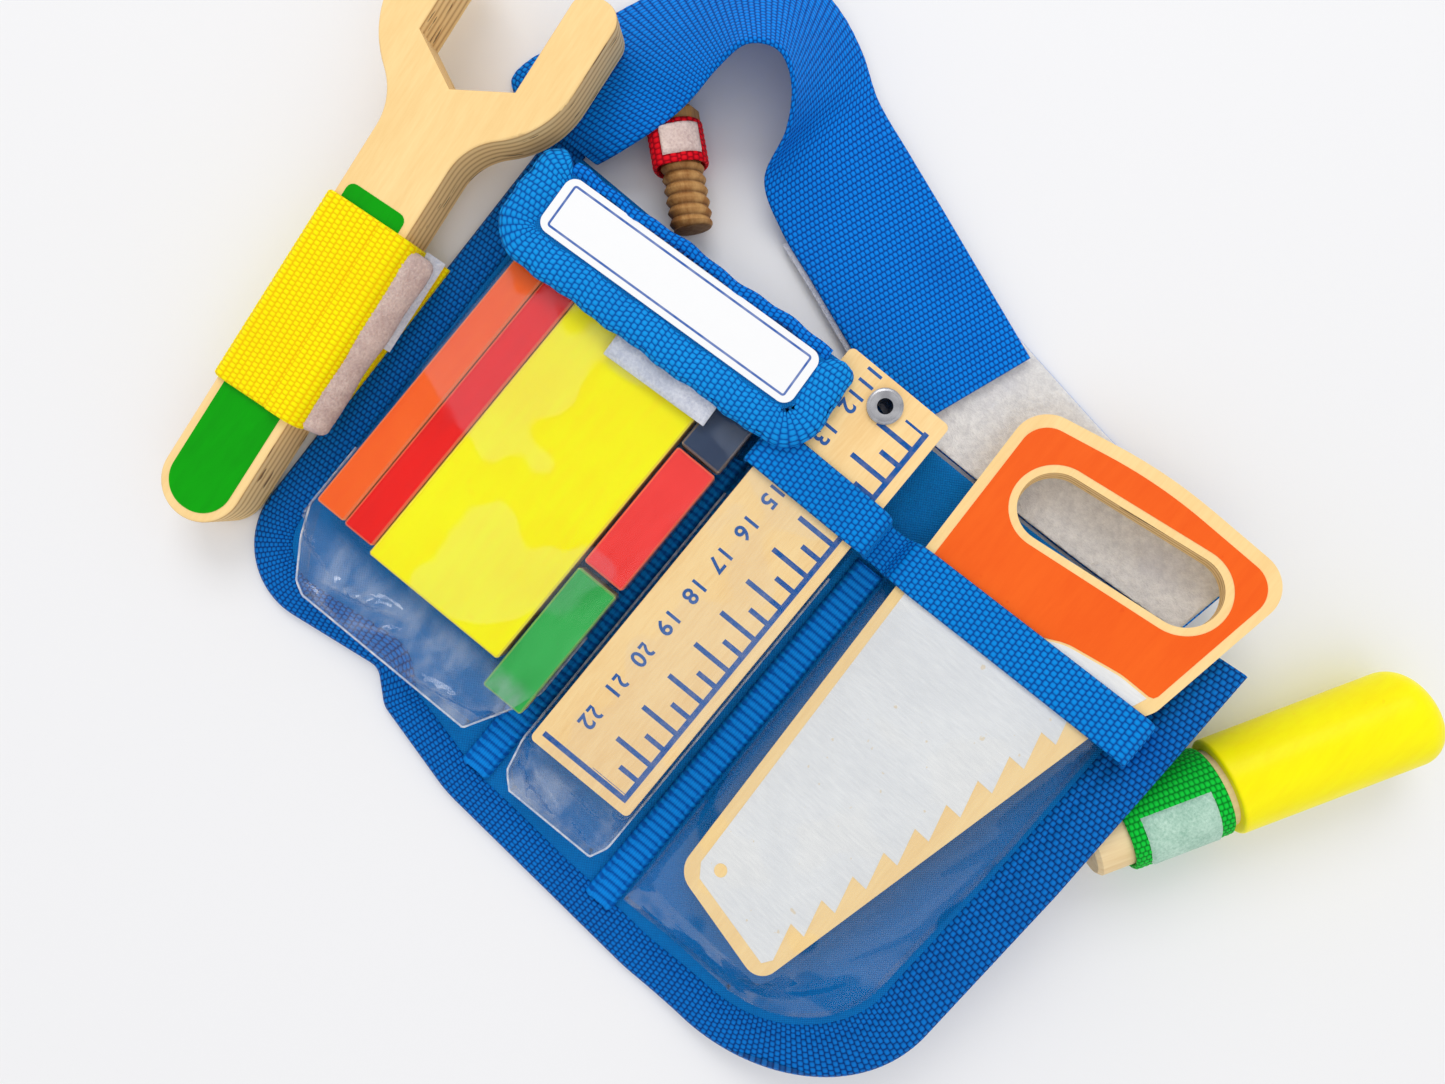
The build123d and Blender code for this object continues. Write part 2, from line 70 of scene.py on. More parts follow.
# %% The shader helper
class Socket:
    """A node socket that understands + - * / and gives Math nodes back."""

    def __init__(self, tree, socket):
        self.tree = tree
        self.socket = socket

    def math(self, operation, *values):
        return node_of(self.tree, "ShaderNodeMath", {"operation": operation}, values)[0]

    def __add__(self, other): return self.math("ADD", self, other)
    def __radd__(self, other): return self.math("ADD", other, self)
    def __sub__(self, other): return self.math("SUBTRACT", self, other)
    def __rsub__(self, other): return self.math("SUBTRACT", other, self)
    def __mul__(self, other): return self.math("MULTIPLY", self, other)
    def __rmul__(self, other): return self.math("MULTIPLY", other, self)
    def __truediv__(self, other): return self.math("DIVIDE", self, other)
    def __neg__(self): return self.math("MULTIPLY", self, -1.0)
    def above(self, other): return self.math("GREATER_THAN", self, other)
    def below(self, other): return self.math("LESS_THAN", self, other)
    def sine(self): return self.math("SINE", self)
    def size(self): return self.math("ABSOLUTE", self)
    def floor(self): return self.math("FLOOR", self)
    def fraction(self): return self.math("FRACT", self)
    def power(self, other): return self.math("POWER", self, other)
    def least(self, other): return self.math("MINIMUM", self, other)
    def most(self, other): return self.math("MAXIMUM", self, other)

    def between(self, low, high):
        """0 below low, 1 above high, and smooth from one to the other."""
        settings = {"interpolation_type": "SMOOTHSTEP"}
        return node_of(self.tree, "ShaderNodeMapRange", settings, {0: self, 1: low, 2: high})[0]


def node_of(tree, kind, settings=None, values=()):
    """Add a node, make its settings, fill its inputs, and return its outputs."""
    made = tree.nodes.new(kind)
    for name, value in (settings or {}).items():
        setattr(made, name, value)
    pairs = values.items() if isinstance(values, dict) else enumerate(values)
    for key, value in pairs:
        if isinstance(value, Socket):
            tree.links.new(value.socket, made.inputs[key])
        else:
            made.inputs[key].default_value = value
    return [Socket(tree, output) for output in made.outputs]


def mix(tree, share, first, second):
    """Blend two colours."""
    outputs = node_of(tree, "ShaderNodeMix", {"data_type": "RGBA"}, {0: share, 6: first, 7: second})
    return outputs[2]


def xyz(tree, vector):
    return node_of(tree, "ShaderNodeSeparateXYZ", None, [vector])


def noise(tree, vector, scale, detail=3.0, roughness=0.5):
    return node_of(tree, "ShaderNodeTexNoise", None,
                   {"Vector": vector, "Scale": scale, "Detail": detail, "Roughness": roughness})[0]


def stretched(tree, vector, scale):
    """Scale a vector by three numbers, to draw a pattern out along an axis."""
    return node_of(tree, "ShaderNodeVectorMath", {"operation": "MULTIPLY"},
                   {0: vector, 1: scale})[0]


def finish(name, build, **constants):
    """A material: build(tree) returns the sockets that vary, and the rest are constants."""
    material = bpy.data.materials.new(name)
    material.use_nodes = True
    tree = material.node_tree
    shader = tree.nodes["Principled BSDF"]
    for key, value in constants.items():
        shader.inputs[key.replace("_", " ")].default_value = value
    for key, value in build(tree).items():
        if isinstance(value, Socket):
            tree.links.new(value.socket, shader.inputs[key])
        else:
            shader.inputs[key].default_value = value
    return material


def bump(tree, height, distance, strength=1.0):
    return node_of(tree, "ShaderNodeBump", None,
                   {"Height": height, "Distance": distance, "Strength": strength})[0]


def surface(tree, colour, rough, height, distance, strength):
    """What varies in most finishes: colour, roughness and the bump, whose distance is in metres."""
    return {"Base Color": colour, "Roughness": rough,
            "Normal": bump(tree, height, distance, strength)}


def coords(tree, name="Object"):
    made = tree.nodes.new("ShaderNodeTexCoord")
    return Socket(tree, made.outputs[name])


def surface_normal(tree):
    return Socket(tree, tree.nodes.new("ShaderNodeNewGeometry").outputs["Normal"])


def rgb(red, green, blue):
    """A colour given as it looks on a screen, from 0 to 255, as linear light."""
    linear = []
    for value in (red, green, blue):
        share = value / 255
        linear.append(share / 12.92 if share <= 0.04045 else ((share + 0.055) / 1.055) ** 2.4)
    return (*linear, 1.0)


# %% The floor and the lights
bpy.ops.mesh.primitive_plane_add(size=6.0, location=(0, 0, 0))
floor = bpy.context.object
floor.name = "floor"
FLOOR_COLOUR = rgb(240, 240, 242)


def floor_finish(tree):
    speck = noise(tree, coords(tree), 12.0)
    return {"Roughness": 0.55 + 0.1 * speck}


floor.data.materials.append(finish("white_table", floor_finish, Base_Color=FLOOR_COLOUR))


def soft_light(name, place, size, power):
    data = bpy.data.lights.new(name, "AREA")
    data.shape = "RECTANGLE"
    data.size, data.size_y = size
    data.energy = power
    lamp = bpy.data.objects.new(name, data)
    lamp.location = place
    lamp.rotation_euler = (-Vector(place)).to_track_quat("-Z", "Y").to_euler()
    bpy.context.scene.collection.objects.link(lamp)


soft_light("window", (-0.75, 0.95, 1.25), (1.0, 0.8), 8.5)
soft_light("fill", (0.9, -0.6, 1.3), (1.4, 1.2), 3.0)

world = bpy.data.worlds.new("room")
world.use_nodes = True
world.node_tree.nodes["Background"].inputs["Color"].default_value = (1.0, 1.0, 1.0, 1.0)
world.node_tree.nodes["Background"].inputs["Strength"].default_value = 0.79
bpy.context.scene.world = world
bpy.context.scene.view_settings.view_transform = "Standard"

# %% [markdown]
# ## Helpers for soft strips and sheets
# Webbing, cloth and film are thin sheets that follow a path. Each starts as a grid primitive,
# whose vertices are moved to the place that a small function gives, in millimetres. The same
# function gives the pattern map, so a weave follows its strip round every bend.

# %% A grid that is moved into place
def select_nothing():
    bpy.ops.object.select_all(action="DESELECT")


def moved_grid(name, columns, rows, place):
    """A grid primitive moved to place(u, v), which gives points and a pattern map, in mm."""
    select_nothing()
    bpy.ops.mesh.primitive_grid_add(x_subdivisions=columns, y_subdivisions=rows, size=2.0)
    piece = bpy.context.object
    piece.name = piece.data.name = name
    mesh = piece.data
    flat = np.empty(len(mesh.vertices) * 3)
    mesh.vertices.foreach_get("co", flat)
    u, v = (flat.reshape(-1, 3)[:, :2].T + 1.0) / 2.0
    points, pattern = place(u, v)
    mesh.vertices.foreach_set("co", (np.column_stack(points) * MM).ravel())
    corners = np.empty(len(mesh.loops), dtype=int)
    mesh.loops.foreach_get("vertex_index", corners)
    mesh.uv_layers.active.data.foreach_set("uv", (np.column_stack(pattern) * MM)[corners].ravel())
    mesh.update()
    return piece


def activate(piece):
    select_nothing()
    piece.select_set(True)
    bpy.context.view_layer.objects.active = piece


def edit_whole(piece, *steps):
    """Run each mesh operator, given with its settings, on the whole of a piece."""
    activate(piece)
    bpy.ops.object.mode_set(mode="EDIT")
    for operator, settings in steps:
        bpy.ops.mesh.select_all(action="SELECT")
        operator(**settings)
    bpy.ops.object.mode_set(mode="OBJECT")


def merged_and_outward(piece, gap, *between):
    """Merge vertices closer than gap, run the steps between, and point every face outwards."""
    edit_whole(piece, (bpy.ops.mesh.remove_doubles, {"threshold": gap}), *between,
               (bpy.ops.mesh.normals_make_consistent, {"inside": False}))


def close_up(piece, gap=0.00001):
    """Merge the seam, fill the open ends and point every face outwards."""
    merged_and_outward(piece, gap, (bpy.ops.mesh.fill_holes, {"sides": 0}))


def apply_modifier(piece, kind, **settings):
    activate(piece)
    modifier = piece.modifiers.new(kind.lower(), kind)
    for key, value in settings.items():
        setattr(modifier, key, value)
    bpy.ops.object.modifier_apply(modifier=modifier.name)


def smooth_shade(piece, angle):
    activate(piece)
    bpy.ops.object.shade_smooth_by_angle(angle=radians(angle))


def dressed(piece, body, slot, material, *nodes):
    """Give a piece its finish and its body, and hide the CAD nodes that it stands for."""
    piece.data.materials.clear()
    piece.data.materials.append(material)
    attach(piece, body)
    if nodes:
        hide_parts(*nodes)
    print(piece.name, "has", len(piece.data.polygons), "faces")
    return piece


# %% [markdown]
# A woven strip is a closed loop that runs over the top, round one edge, back underneath and up
# again. The top gets a row of vertices every half millimetre, so that the beads of the weave are
# real, and the underside gets only a few.

# %% The cross-section of a strip
CELL = 0.46


def section(width, thick, dome=0.0):
    """Across, height and weave share of each vertex round a strip, and the pattern map across."""
    count = max(4, round(width / CELL))
    across = np.linspace(-width / 2, width / 2, count + 1)
    height = thick + dome * (1 - (2 * across / width) ** 2)
    share = np.ones_like(across)
    share[[0, -1]] = 0.5
    edge = thick * 0.42
    rim = [(width / 2 + edge * 0.8, thick * 0.72, 0.4), (width / 2 + edge, thick * 0.45, 0.2),
           (width / 2 + edge * 0.6, thick * 0.12, 0.0), (width / 2 - edge, 0.0, 0.0),
           (width / 6, 0.0, 0.0), (-width / 6, 0.0, 0.0), (-width / 2 + edge, 0.0, 0.0),
           (-width / 2 - edge * 0.6, thick * 0.12, 0.0), (-width / 2 - edge, thick * 0.45, 0.2),
           (-width / 2 - edge * 0.8, thick * 0.72, 0.4), (across[0], height[0], 0.5)]
    rim = np.array(rim)
    across = np.concatenate([across, rim[:, 0]])
    height = np.concatenate([height, rim[:, 1]])
    share = np.concatenate([share, rim[:, 2]])
    steps = np.hypot(np.diff(across), np.diff(height))
    around = np.concatenate([[0.0], np.cumsum(steps)]) - width / 2
    return across, height, share, around


def beads(along, across, pitch, wide):
    """The height of a plain weave, from 0 in the gaps to 1 on the crowns, in brick order."""
    row = np.floor(along / pitch)
    crown = np.sin(pi * (along / pitch - row))
    swell = np.abs(np.sin(pi * (across / wide + 0.5 * row)))
    return (crown * swell) ** 0.6


def strip(name, length, width, thick, place, pitch=1.35, wide=1.25, relief=0.22, dome=0.0):
    """A woven strip: place(along, across, height) gives x, y and z, all in mm."""
    across, height, share, around = section(width, thick, dome)
    last = len(across) - 1

    def put(u, v):
        ring = np.rint(v * last).astype(int)
        along = u * length
        weave = beads(along, around[ring], pitch, wide)
        swell = np.sin(pi * np.clip(u * length / 1.5, 0, 0.5)) * np.sin(
            pi * np.clip((1 - u) * length / 1.5, 0, 0.5))
        high = height[ring] + share[ring] * relief * (weave - 0.45) * swell
        return place(along, across[ring], high), (along, around[ring])

    piece = moved_grid(name, max(4, round(length / CELL)), last, put)
    close_up(piece)
    smooth_shade(piece, 60)
    return piece


# %% [markdown]
# ## Webbing
# Webbing is a plain weave of thick yarn, and each yarn is a bundle of fine filaments. The material
# paints the crowns of the beads lighter and the gaps between them darker, a painted highlight and
# painted shade over the real beads of the mesh. It reads the strip's own pattern map, with the same
# brick order as the beads of the mesh.

# %% The webbing finish
def weave_height(along, across, pitch, wide):
    row = (along / (pitch * MM)).floor()
    crown = (((along / (pitch * MM)).fraction()) * pi).sine()
    swell = ((across / (wide * MM) + row * 0.5) * pi).sine().size()
    return (crown * swell).power(0.6)


def webbing(name, bright, dark, pitch=1.35, wide=1.25, sheen=0.02):
    def build(tree):
        pattern = coords(tree, "UV")
        along, across, _ = xyz(tree, pattern)
        weave = weave_height(along, across, pitch, wide)
        filaments = noise(tree, stretched(tree, pattern, (900.0, 4200.0, 1.0)), 1.0, 2.0)
        cloud = noise(tree, coords(tree), 55.0, 2.0)
        # the weave height sets the colour: painted highlight on the crowns, painted shade in the
        # gaps
        share = (weave * 0.95 + filaments * 0.35 - 0.12).between(0.05, 0.95)
        colour = mix(tree, share, dark, bright)
        worn = mix(tree, cloud.between(0.35, 0.85) * 0.16, colour, dark)
        height = weave + filaments * 0.25
        return surface(tree, worn, 0.72 - 0.2 * weave, height, 0.0002, 0.7)
    return finish(name, build, Sheen_Weight=sheen, Sheen_Roughness=0.4, Specular_IOR_Level=0.08)


BLUE = webbing("blue_webbing", rgb(0, 134, 236), rgb(0, 52, 140), 1.45, 1.3)
# The pouch's binding takes a darker copy of the blue, painted shade for the pouch's shadow on it,
# and the flap's binding a lighter copy, painted light for its place on top.
BINDING_BLUE_SHADED = webbing("blue_binding_shaded", rgb(4, 116, 206), rgb(0, 44, 112), 1.5, 1.5)
FLAP_BLUE_LIT = webbing("flap_binding", rgb(16, 154, 236), rgb(0, 74, 160), 1.55, 1.45)
print("webbing finishes are ready")

# %% [markdown]
# ## The pouch's edge binding
# A wide tape is folded over the edge of the panel on the left, bottom and right, and sewn down.
# It follows the panel's outline, so the outline is worked out first: straight runs with a round
# corner between them. The right side of the belt stands up on its edge, so every piece there is
# lifted along the same curve.

# %% The outline and the rising edge
POUCH_TOP = 53.5
RISE_START, RISE_RADIUS = 50.0, 99.4
BINDING_W, BINDING_T, PANEL_T = 12.5, 3.0, 2.0
OUTLINE = [(-96, -87.2, 21), (-47.5, -80.5, 5), (-40, -87.2, 6), (-14, -94, 40),
           (50, -99.6, 60), (109, -99, 42), (112.8, -14, 60)]
TOP_LEFT, TOP_RIGHT = (-99.9, POUCH_TOP), (114.2, POUCH_TOP)


def lift(x, height):
    """The height above the table of a point at x that is height above the panel's back."""
    out = np.maximum(x - RISE_START, 0.0)
    return RISE_RADIUS - np.sqrt((RISE_RADIUS - height) ** 2 - out ** 2)


def rounded_line(start, corners, end, step=0.5):
    """Points along straight runs whose corners (x, y, radius) are rounded."""
    points = [np.array(start, float)]
    stops = [start] + [corner[:2] for corner in corners] + [end]
    for index, (x, y, radius) in enumerate(corners):
        here = np.array([x, y], float)
        back = np.array(stops[index], float) - here
        ahead = np.array(stops[index + 2], float) - here
        back, ahead = back / hypot(*back), ahead / hypot(*ahead)
        half = np.arccos(np.clip(back @ ahead, -1, 1)) / 2
        reach = radius / np.tan(half)
        middle = here + (back + ahead) / hypot(*(back + ahead)) * radius / np.sin(half)
        first, last = here + back * reach - middle, here + ahead * reach - middle
        turn = pi - 2 * half
        for share in np.linspace(0, 1, max(3, int(radius * turn / step))):
            mixed = np.sin((1 - share) * turn) * first + np.sin(share * turn) * last
            points.append(middle + mixed / np.sin(turn))
    points.append(np.array(end, float))
    return np.array(points)


def measured(points):
    """The distance along a line of points, from its start."""
    return np.concatenate([[0.0], np.cumsum(np.linalg.norm(np.diff(points, axis=0), axis=1))])


def along_line(points, reached, where):
    return np.column_stack([np.interp(where, reached, points[:, axis])
                            for axis in range(points.shape[1])])


def heading(points, reached, where, window):
    """The place on a line, and its direction there, averaged over a window on each side."""
    run = (along_line(points, reached, np.minimum(where + window, reached[-1]))
           - along_line(points, reached, np.maximum(where - window, 0.0)))
    run /= np.linalg.norm(run, axis=1)[:, None]
    return along_line(points, reached, where), run


edge_line = rounded_line(TOP_LEFT, OUTLINE, TOP_RIGHT)
edge_reached = measured(edge_line)
EDGE_LENGTH = edge_reached[-1]
print("the bound edge is", round(EDGE_LENGTH), "mm long")


# %% The binding, laid along the outline
def edge_frame(where):
    """Points on the outline, and the way in from them, averaged over a short window."""
    here, run = heading(edge_line, edge_reached, where, 7.0)
    return here, np.column_stack([-run[:, 1], run[:, 0]])


def binding_width(x):
    """The tape is pressed flatter on the risen right side, and is narrowest at the lower left."""
    return np.interp(x, [-100, -60, 10, 70, 100], [9.6, 8.6, 8.8, 9.8, 10.4])


def on_binding(along, across, high):
    here, inward = edge_frame(along)
    width = binding_width(here[:, 0])
    spot = here + inward * ((across / BINDING_W + 0.5) * width)[:, None]
    groove = 0.55 * np.exp(-((across - BINDING_W / 2 + 2.6) / 0.8) ** 2)
    return spot[:, 0], spot[:, 1], lift(spot[:, 0], high - groove * (high > 1.5))


binding = strip("edge_binding", EDGE_LENGTH, BINDING_W - 1.2, BINDING_T - 0.35, on_binding,
                1.5, 1.5, 0.3, dome=0.35)
dressed(binding, "belt", "blue_webbing", BINDING_BLUE_SHADED, "panel_binding")

# %% [markdown]
# ## The nylon panel
# The back of the pouch is one flat piece of coated nylon with a fine square weave. It is drawn
# as rings round its middle that grow into the outline, so its edge is exact and its cells stay
# even, and then it is given its thickness.

# %% The panel
PANEL_MIDDLE = np.array([8.0, -18.0])
panel_line = rounded_line(TOP_LEFT, OUTLINE, TOP_RIGHT)
panel_line = np.vstack([panel_line, panel_line[:1]])
panel_reached = measured(panel_line)


def on_panel(u, v):
    rim = along_line(panel_line, panel_reached, u * panel_reached[-1])
    inset = 1.0 - 1.4 / np.linalg.norm(rim - PANEL_MIDDLE, axis=1)
    spot = PANEL_MIDDLE + (rim - PANEL_MIDDLE) * (v * inset)[:, None]
    x, y = spot.T
    hem = 0.5 * np.exp(-((y - POUCH_TOP + 2.4) / 2.0) ** 2)
    ripple = 0.12 * np.sin(x * 0.21 + 1.3 * np.sin(y * 0.11)) * np.sin(y * 0.17)
    return (x, y, lift(x, PANEL_T - 0.1 + hem + ripple)), (x, y)


def thickened(piece, thick, offset):
    """Give an open sheet its thickness, and merge the seam first."""
    merged_and_outward(piece, 0.00002)
    if sum(face.normal.z * face.area for face in piece.data.polygons) < 0:
        piece.data.flip_normals()
    apply_modifier(piece, "SOLIDIFY", thickness=thick * MM, offset=offset)
    smooth_shade(piece, 50)


panel = moved_grid("nylon_panel", 420, 60, on_panel)
thickened(panel, PANEL_T - 0.3, -1.0)
print("the panel's box is", [tuple(round(v, 4) for v in corner) for corner in panel.bound_box][::6])


# %% The nylon finish
def nylon_finish(tree):
    x, y, _ = xyz(tree, coords(tree))
    wave = ((x * (2 * pi / 0.00062)).sine() * (y * (2 * pi / 0.00062)).sine())
    grain = noise(tree, coords(tree), 900.0, 2.0)
    cloud = noise(tree, coords(tree), 26.0, 3.0)
    # the weave's wave sets the colour: painted highlight on the cells' crowns and painted shade
    # between them
    share = (wave * 0.3 + 0.45 + grain * 0.3 - 0.15)
    colour = mix(tree, share, rgb(0, 78, 150), rgb(0, 142, 224))
    faded = mix(tree, cloud.between(0.4, 0.75) * 0.25, colour, rgb(0, 92, 168))
    return surface(tree, faded, 0.5 + 0.15 * grain, wave + grain * 0.5, 0.0002, 0.55)


NYLON = finish("blue_nylon", nylon_finish, Specular_IOR_Level=0.12)

dressed(panel, "belt", "nylon", NYLON, "pouch_panel")

# %% [markdown]
# ## The band over the pocket mouths, and the divider tapes
# One more webbing band closes off the pockets: it stands up beside the ruler, crosses it, dips
# to the divider and climbs over the saw. The two dividers are narrow ribbed tapes whose edges
# are sewn down with small loops of thread.

# %% The rim band
RIM_Y, RIM_W, RIM_T = 25.0, 12.0, 1.2
SAW_SLOPE, SAW_X, SAW_Z, SAW_T = 0.287, 40.0, 3.0, 6.0


def saw_underside(x):
    return SAW_Z + SAW_SLOPE * (x - SAW_X)


over_saw = SAW_T * hypot(1.0, SAW_SLOPE) + 0.4
rim_corners = [(-7.9, 15.3, 2.2), (27.4, 15.3, 2.2), (29.4, 4.2, 1.6), (37.0, 4.2, 1.6),
               (38.6, saw_underside(38.6) + over_saw, 2.2),
               (103.8, saw_underside(103.8) + over_saw, 2.5)]
rim_line = rounded_line((-7.9, 1.2), rim_corners, (106.6, 19.5), 0.25)
rim_reached = measured(rim_line)


def on_rim(along, across, high):
    here, run = heading(rim_line, rim_reached, along, 0.8)
    pinch = 1 - 0.12 * np.exp(-((here[:, 0] - 33.0) / 5.0) ** 2)
    return here[:, 0] - run[:, 1] * high, RIM_Y - across * pinch, here[:, 1] + run[:, 0] * high


RIM_BLUE = webbing("rim_webbing", rgb(2, 140, 228), rgb(0, 62, 146), 1.5, 1.5)
rim_band = strip("rim_band", rim_reached[-1], RIM_W - 0.8, RIM_T, on_rim, 1.5, 1.5, 0.24)
dressed(rim_band, "belt", "blue_webbing", RIM_BLUE, "pocket_rim_band")

# %% The divider tapes
DIVIDER_SHOWN, POCKET_MOUTH = 7.2, 18.8
RIB = 2.1


def ribbed_finish(tree):
    along, across, _ = xyz(tree, coords(tree, "UV"))
    rib = ((along * (2 * pi / (RIB * MM))).sine() + 1.0) * 0.5
    threads = ((across * (2 * pi / 0.0007)).sine() + 1.0) * 0.5
    fuzz = noise(tree, coords(tree, "UV"), 1500.0, 2.0)
    # the ribs set the colour: painted highlight on their crests and painted shade in the troughs
    # between them
    share = (rib * 0.7 + threads * 0.25 + fuzz * 0.3 - 0.15).between(0.0, 1.0)
    colour = mix(tree, share, rgb(0, 78, 162), rgb(4, 132, 222))
    return surface(tree, colour, 0.75 - 0.15 * rib, rib + threads * 0.4 + fuzz * 0.3, 0.0002, 0.6)


RIBBED = finish("ribbed_tape", ribbed_finish, Specular_IOR_Level=0.08)


def divider(name, x, low, node_name):
    length = POCKET_MOUTH - low
    rows = round(length / 0.4)

    def put(u, v):
        along = u * length
        across = (v - 0.5) * DIVIDER_SHOWN
        rib = 0.5 + 0.5 * np.sin(2 * pi * along / RIB)
        edge = np.exp(-((np.abs(across) - DIVIDER_SHOWN / 2 + 0.7) / 0.45) ** 2)
        chain = 0.5 + 0.5 * np.sin(2 * pi * along / 1.3)
        gather = 1 - 0.05 * rib
        high = PANEL_T + 0.75 + 0.3 * rib * (1 - edge) + (0.5 * chain + 0.3) * edge
        high = np.where((v < 0.001) | (v > 0.999), PANEL_T + 0.2, high)
        y = low + along
        return (x + across * gather, y, lift(x + across, high)), (along, across)

    tape = moved_grid(name, rows, 22, put)
    apply_modifier(tape, "SOLIDIFY", thickness=0.7 * MM, offset=-1.0)
    smooth_shade(tape, 60)
    return dressed(tape, "belt", "blue_webbing", RIBBED, node_name)


divider("divider_left", -12.0, -84.5, "divider_tape_left")
divider("divider_right", 33.5, -90.5, "divider_tape_right")


# %% [markdown]
# ## The flap
# The flap is a strip of nylon bound on three sides with fat webbing, and it closes the block
# pocket. Its binding is the same tape as the pouch's, folded double, so it is rounder. It is
# drawn in the flap's own frame and then turned into place.

# %% Placing a piece that is turned
def turned(place, turn=0.0, tilt=0.0):
    return (Matrix.Translation(place) @ Matrix.Rotation(radians(turn), 4, "Z")
            @ Matrix.Rotation(radians(tilt), 4, "X"))


def to_world(matrix, x, y, z):
    grid = np.array(matrix)[:3]
    x, y, z = np.broadcast_arrays(x, y, z)
    return tuple(grid[row, 0] * x + grid[row, 1] * y + grid[row, 2] * z + grid[row, 3]
                 for row in range(3))


# %% The flap's binding
FLAP_CENTRE, FLAP_TURN, FLAP_Z = (-46.0, 36.3), 3.5, 16.8
FLAP_W, FLAP_H, FLAP_BINDING = 93.0, 27.0, 9.0
flap_place = turned((*FLAP_CENTRE, FLAP_Z), FLAP_TURN)
half = FLAP_BINDING / 2
flap_line = rounded_line((-FLAP_W / 2 + half + 2.5, FLAP_H / 2 + 0.5),
                         [(-FLAP_W / 2 + half, FLAP_H / 2 - 3.0, 3.0),
                          (-FLAP_W / 2 + half, -FLAP_H / 2 + half, 5.5),
                          (FLAP_W / 2 - half, -FLAP_H / 2 + half, 5.5)],
                         (FLAP_W / 2 - half, FLAP_H / 2 - 0.5), 0.25)
flap_reached = measured(flap_line)


def on_flap(along, across, high):
    here, run = heading(flap_line, flap_reached, along, 3.0)
    end = np.minimum(along, flap_reached[-1] - along)
    narrow = np.sqrt(1 - np.clip(1 - end / 4.0, 0, 1) ** 2) * 0.75 + 0.25
    wave = 0.25 * np.sin(along * 0.33) + 0.15 * np.sin(along * 0.9)
    spot = here + np.column_stack([-run[:, 1], run[:, 0]]) * (across * narrow + wave)[:, None]
    return to_world(flap_place, spot[:, 0], spot[:, 1], high * (0.8 + 0.2 * narrow))


flap_edge = strip("flap_edge", flap_reached[-1], FLAP_BINDING - 1.4, 2.2, on_flap,
                  1.55, 1.45, 0.34, dome=0.9)
dressed(flap_edge, "flap", "blue_webbing", FLAP_BLUE_LIT, "flap_binding")


# %% The flap's cloth, and the rolled tape along its top
def on_flap_cloth(u, v):
    x = (u - 0.5) * (FLAP_W - 9.0)
    y = -FLAP_H / 2 + 5.0 + v * (FLAP_H - 5.6)
    sag = 0.15 * np.sin(u * 9.0) * np.sin(v * 3.1)
    return to_world(flap_place, x, y, 1.25 + sag), (x, y)


flap_cloth = moved_grid("flap_cloth", 90, 26, on_flap_cloth)
thickened(flap_cloth, 0.9, 0.0)
dressed(flap_cloth, "flap", "nylon", NYLON, "flap_panel")


def on_top_roll(along, across, high):
    x = along - 37.8
    wave = 0.35 * np.sin(along * 0.21 + 1.0) + 0.2 * np.sin(along * 0.62)
    y = FLAP_H / 2 - 0.9 + across + wave
    return to_world(flap_place, x, y, high + 1.2 + 0.2 * np.sin(along * 0.4))


top_roll = strip("flap_top_roll", 76.0, 2.4, 1.0, on_top_roll, 1.5, 1.25, 0.3, dome=0.7)
dressed(top_roll, "flap", "blue_webbing", BLUE, "flap_top_tape")

# %% [markdown]
# ## The waist strap and its tail
# The strap lies flat on the tail, where hook and loop hold the two together, and then swings
# round in an arch that stands on its outer edge. A ruled ribbon through pairs of points, one on
# each edge, gives that twist, and the weave is laid along it.

# %% The strap
STRAP_W, WEBBING_T = 38.0, 1.4
STRAP_Z = 3.4
strap_run = np.array([-0.94, 0.341]) / hypot(-0.94, 0.341)
strap_side = np.array([strap_run[1], -strap_run[0]]) * STRAP_W
flat_end = [(17.7 + strap_run[0] * far, 50.0 + strap_run[1] * far)
            for far in (0.0, 15.0, 30.0, 45.0)]
STATIONS = [((x, y, STRAP_Z), (x + strap_side[0], y + strap_side[1], STRAP_Z)) for x, y in flat_end]
STATIONS += [
    ((-38.7, 70.4, STRAP_Z), (-25.8, 106.1, STRAP_Z)),
    ((-49.5, 76.0, 9.0), (-41.0, 112.0, 2.0)),
    ((-51.5, 86.0, 18.0), (-53.0, 119.0, 2.0)),
    ((-56.0, 93.0, 24.0), (-65.0, 123.0, 3.0)),
    ((-62.5, 96.0, 27.0), (-80.0, 124.0, 4.0)),
    ((-69.0, 92.5, 27.0), (-93.0, 115.0, 3.0)),
    ((-72.0, 85.5, 22.0), (-102.0, 98.0, 1.0)),
    ((-73.0, 79.0, 18.5), (-109.0, 82.0, 0.6)),
    ((-74.5, 73.0, 15.6), (-113.0, 72.0, 0.6)),
    ((-77.0, 66.0, 13.5), (-116.5, 64.0, 0.6)),
    ((-81.0, 59.0, 9.0), (-117.0, 57.5, 0.6)),
    ((-85.0, 54.0, 4.0), (-112.0, 54.0, 0.6)),
]


def smooth_through(points, per_span=24):
    """A curve through the points, by the Catmull-Rom rule."""
    padded = np.vstack([2 * points[0] - points[1], points, 2 * points[-1] - points[-2]])
    shares = np.linspace(0, 1, per_span, endpoint=False)[:, None]
    curve = []
    for a, b, c, d in zip(padded, padded[1:], padded[2:], padded[3:]):
        curve.append(0.5 * (2 * b + (c - a) * shares + (2 * a - 5 * b + 4 * c - d) * shares ** 2
                            + (3 * b - a - 3 * c + d) * shares ** 3))
    return np.vstack(curve + [points[-1:]])


inner_edge = smooth_through(np.array([inner for inner, _ in STATIONS], float))
outer_edge = smooth_through(np.array([outer for _, outer in STATIONS], float))
strap_reached = measured((inner_edge + outer_edge) / 2)
STRAP_LENGTH = strap_reached[-1]
print("the strap shows", round(STRAP_LENGTH), "mm of webbing")


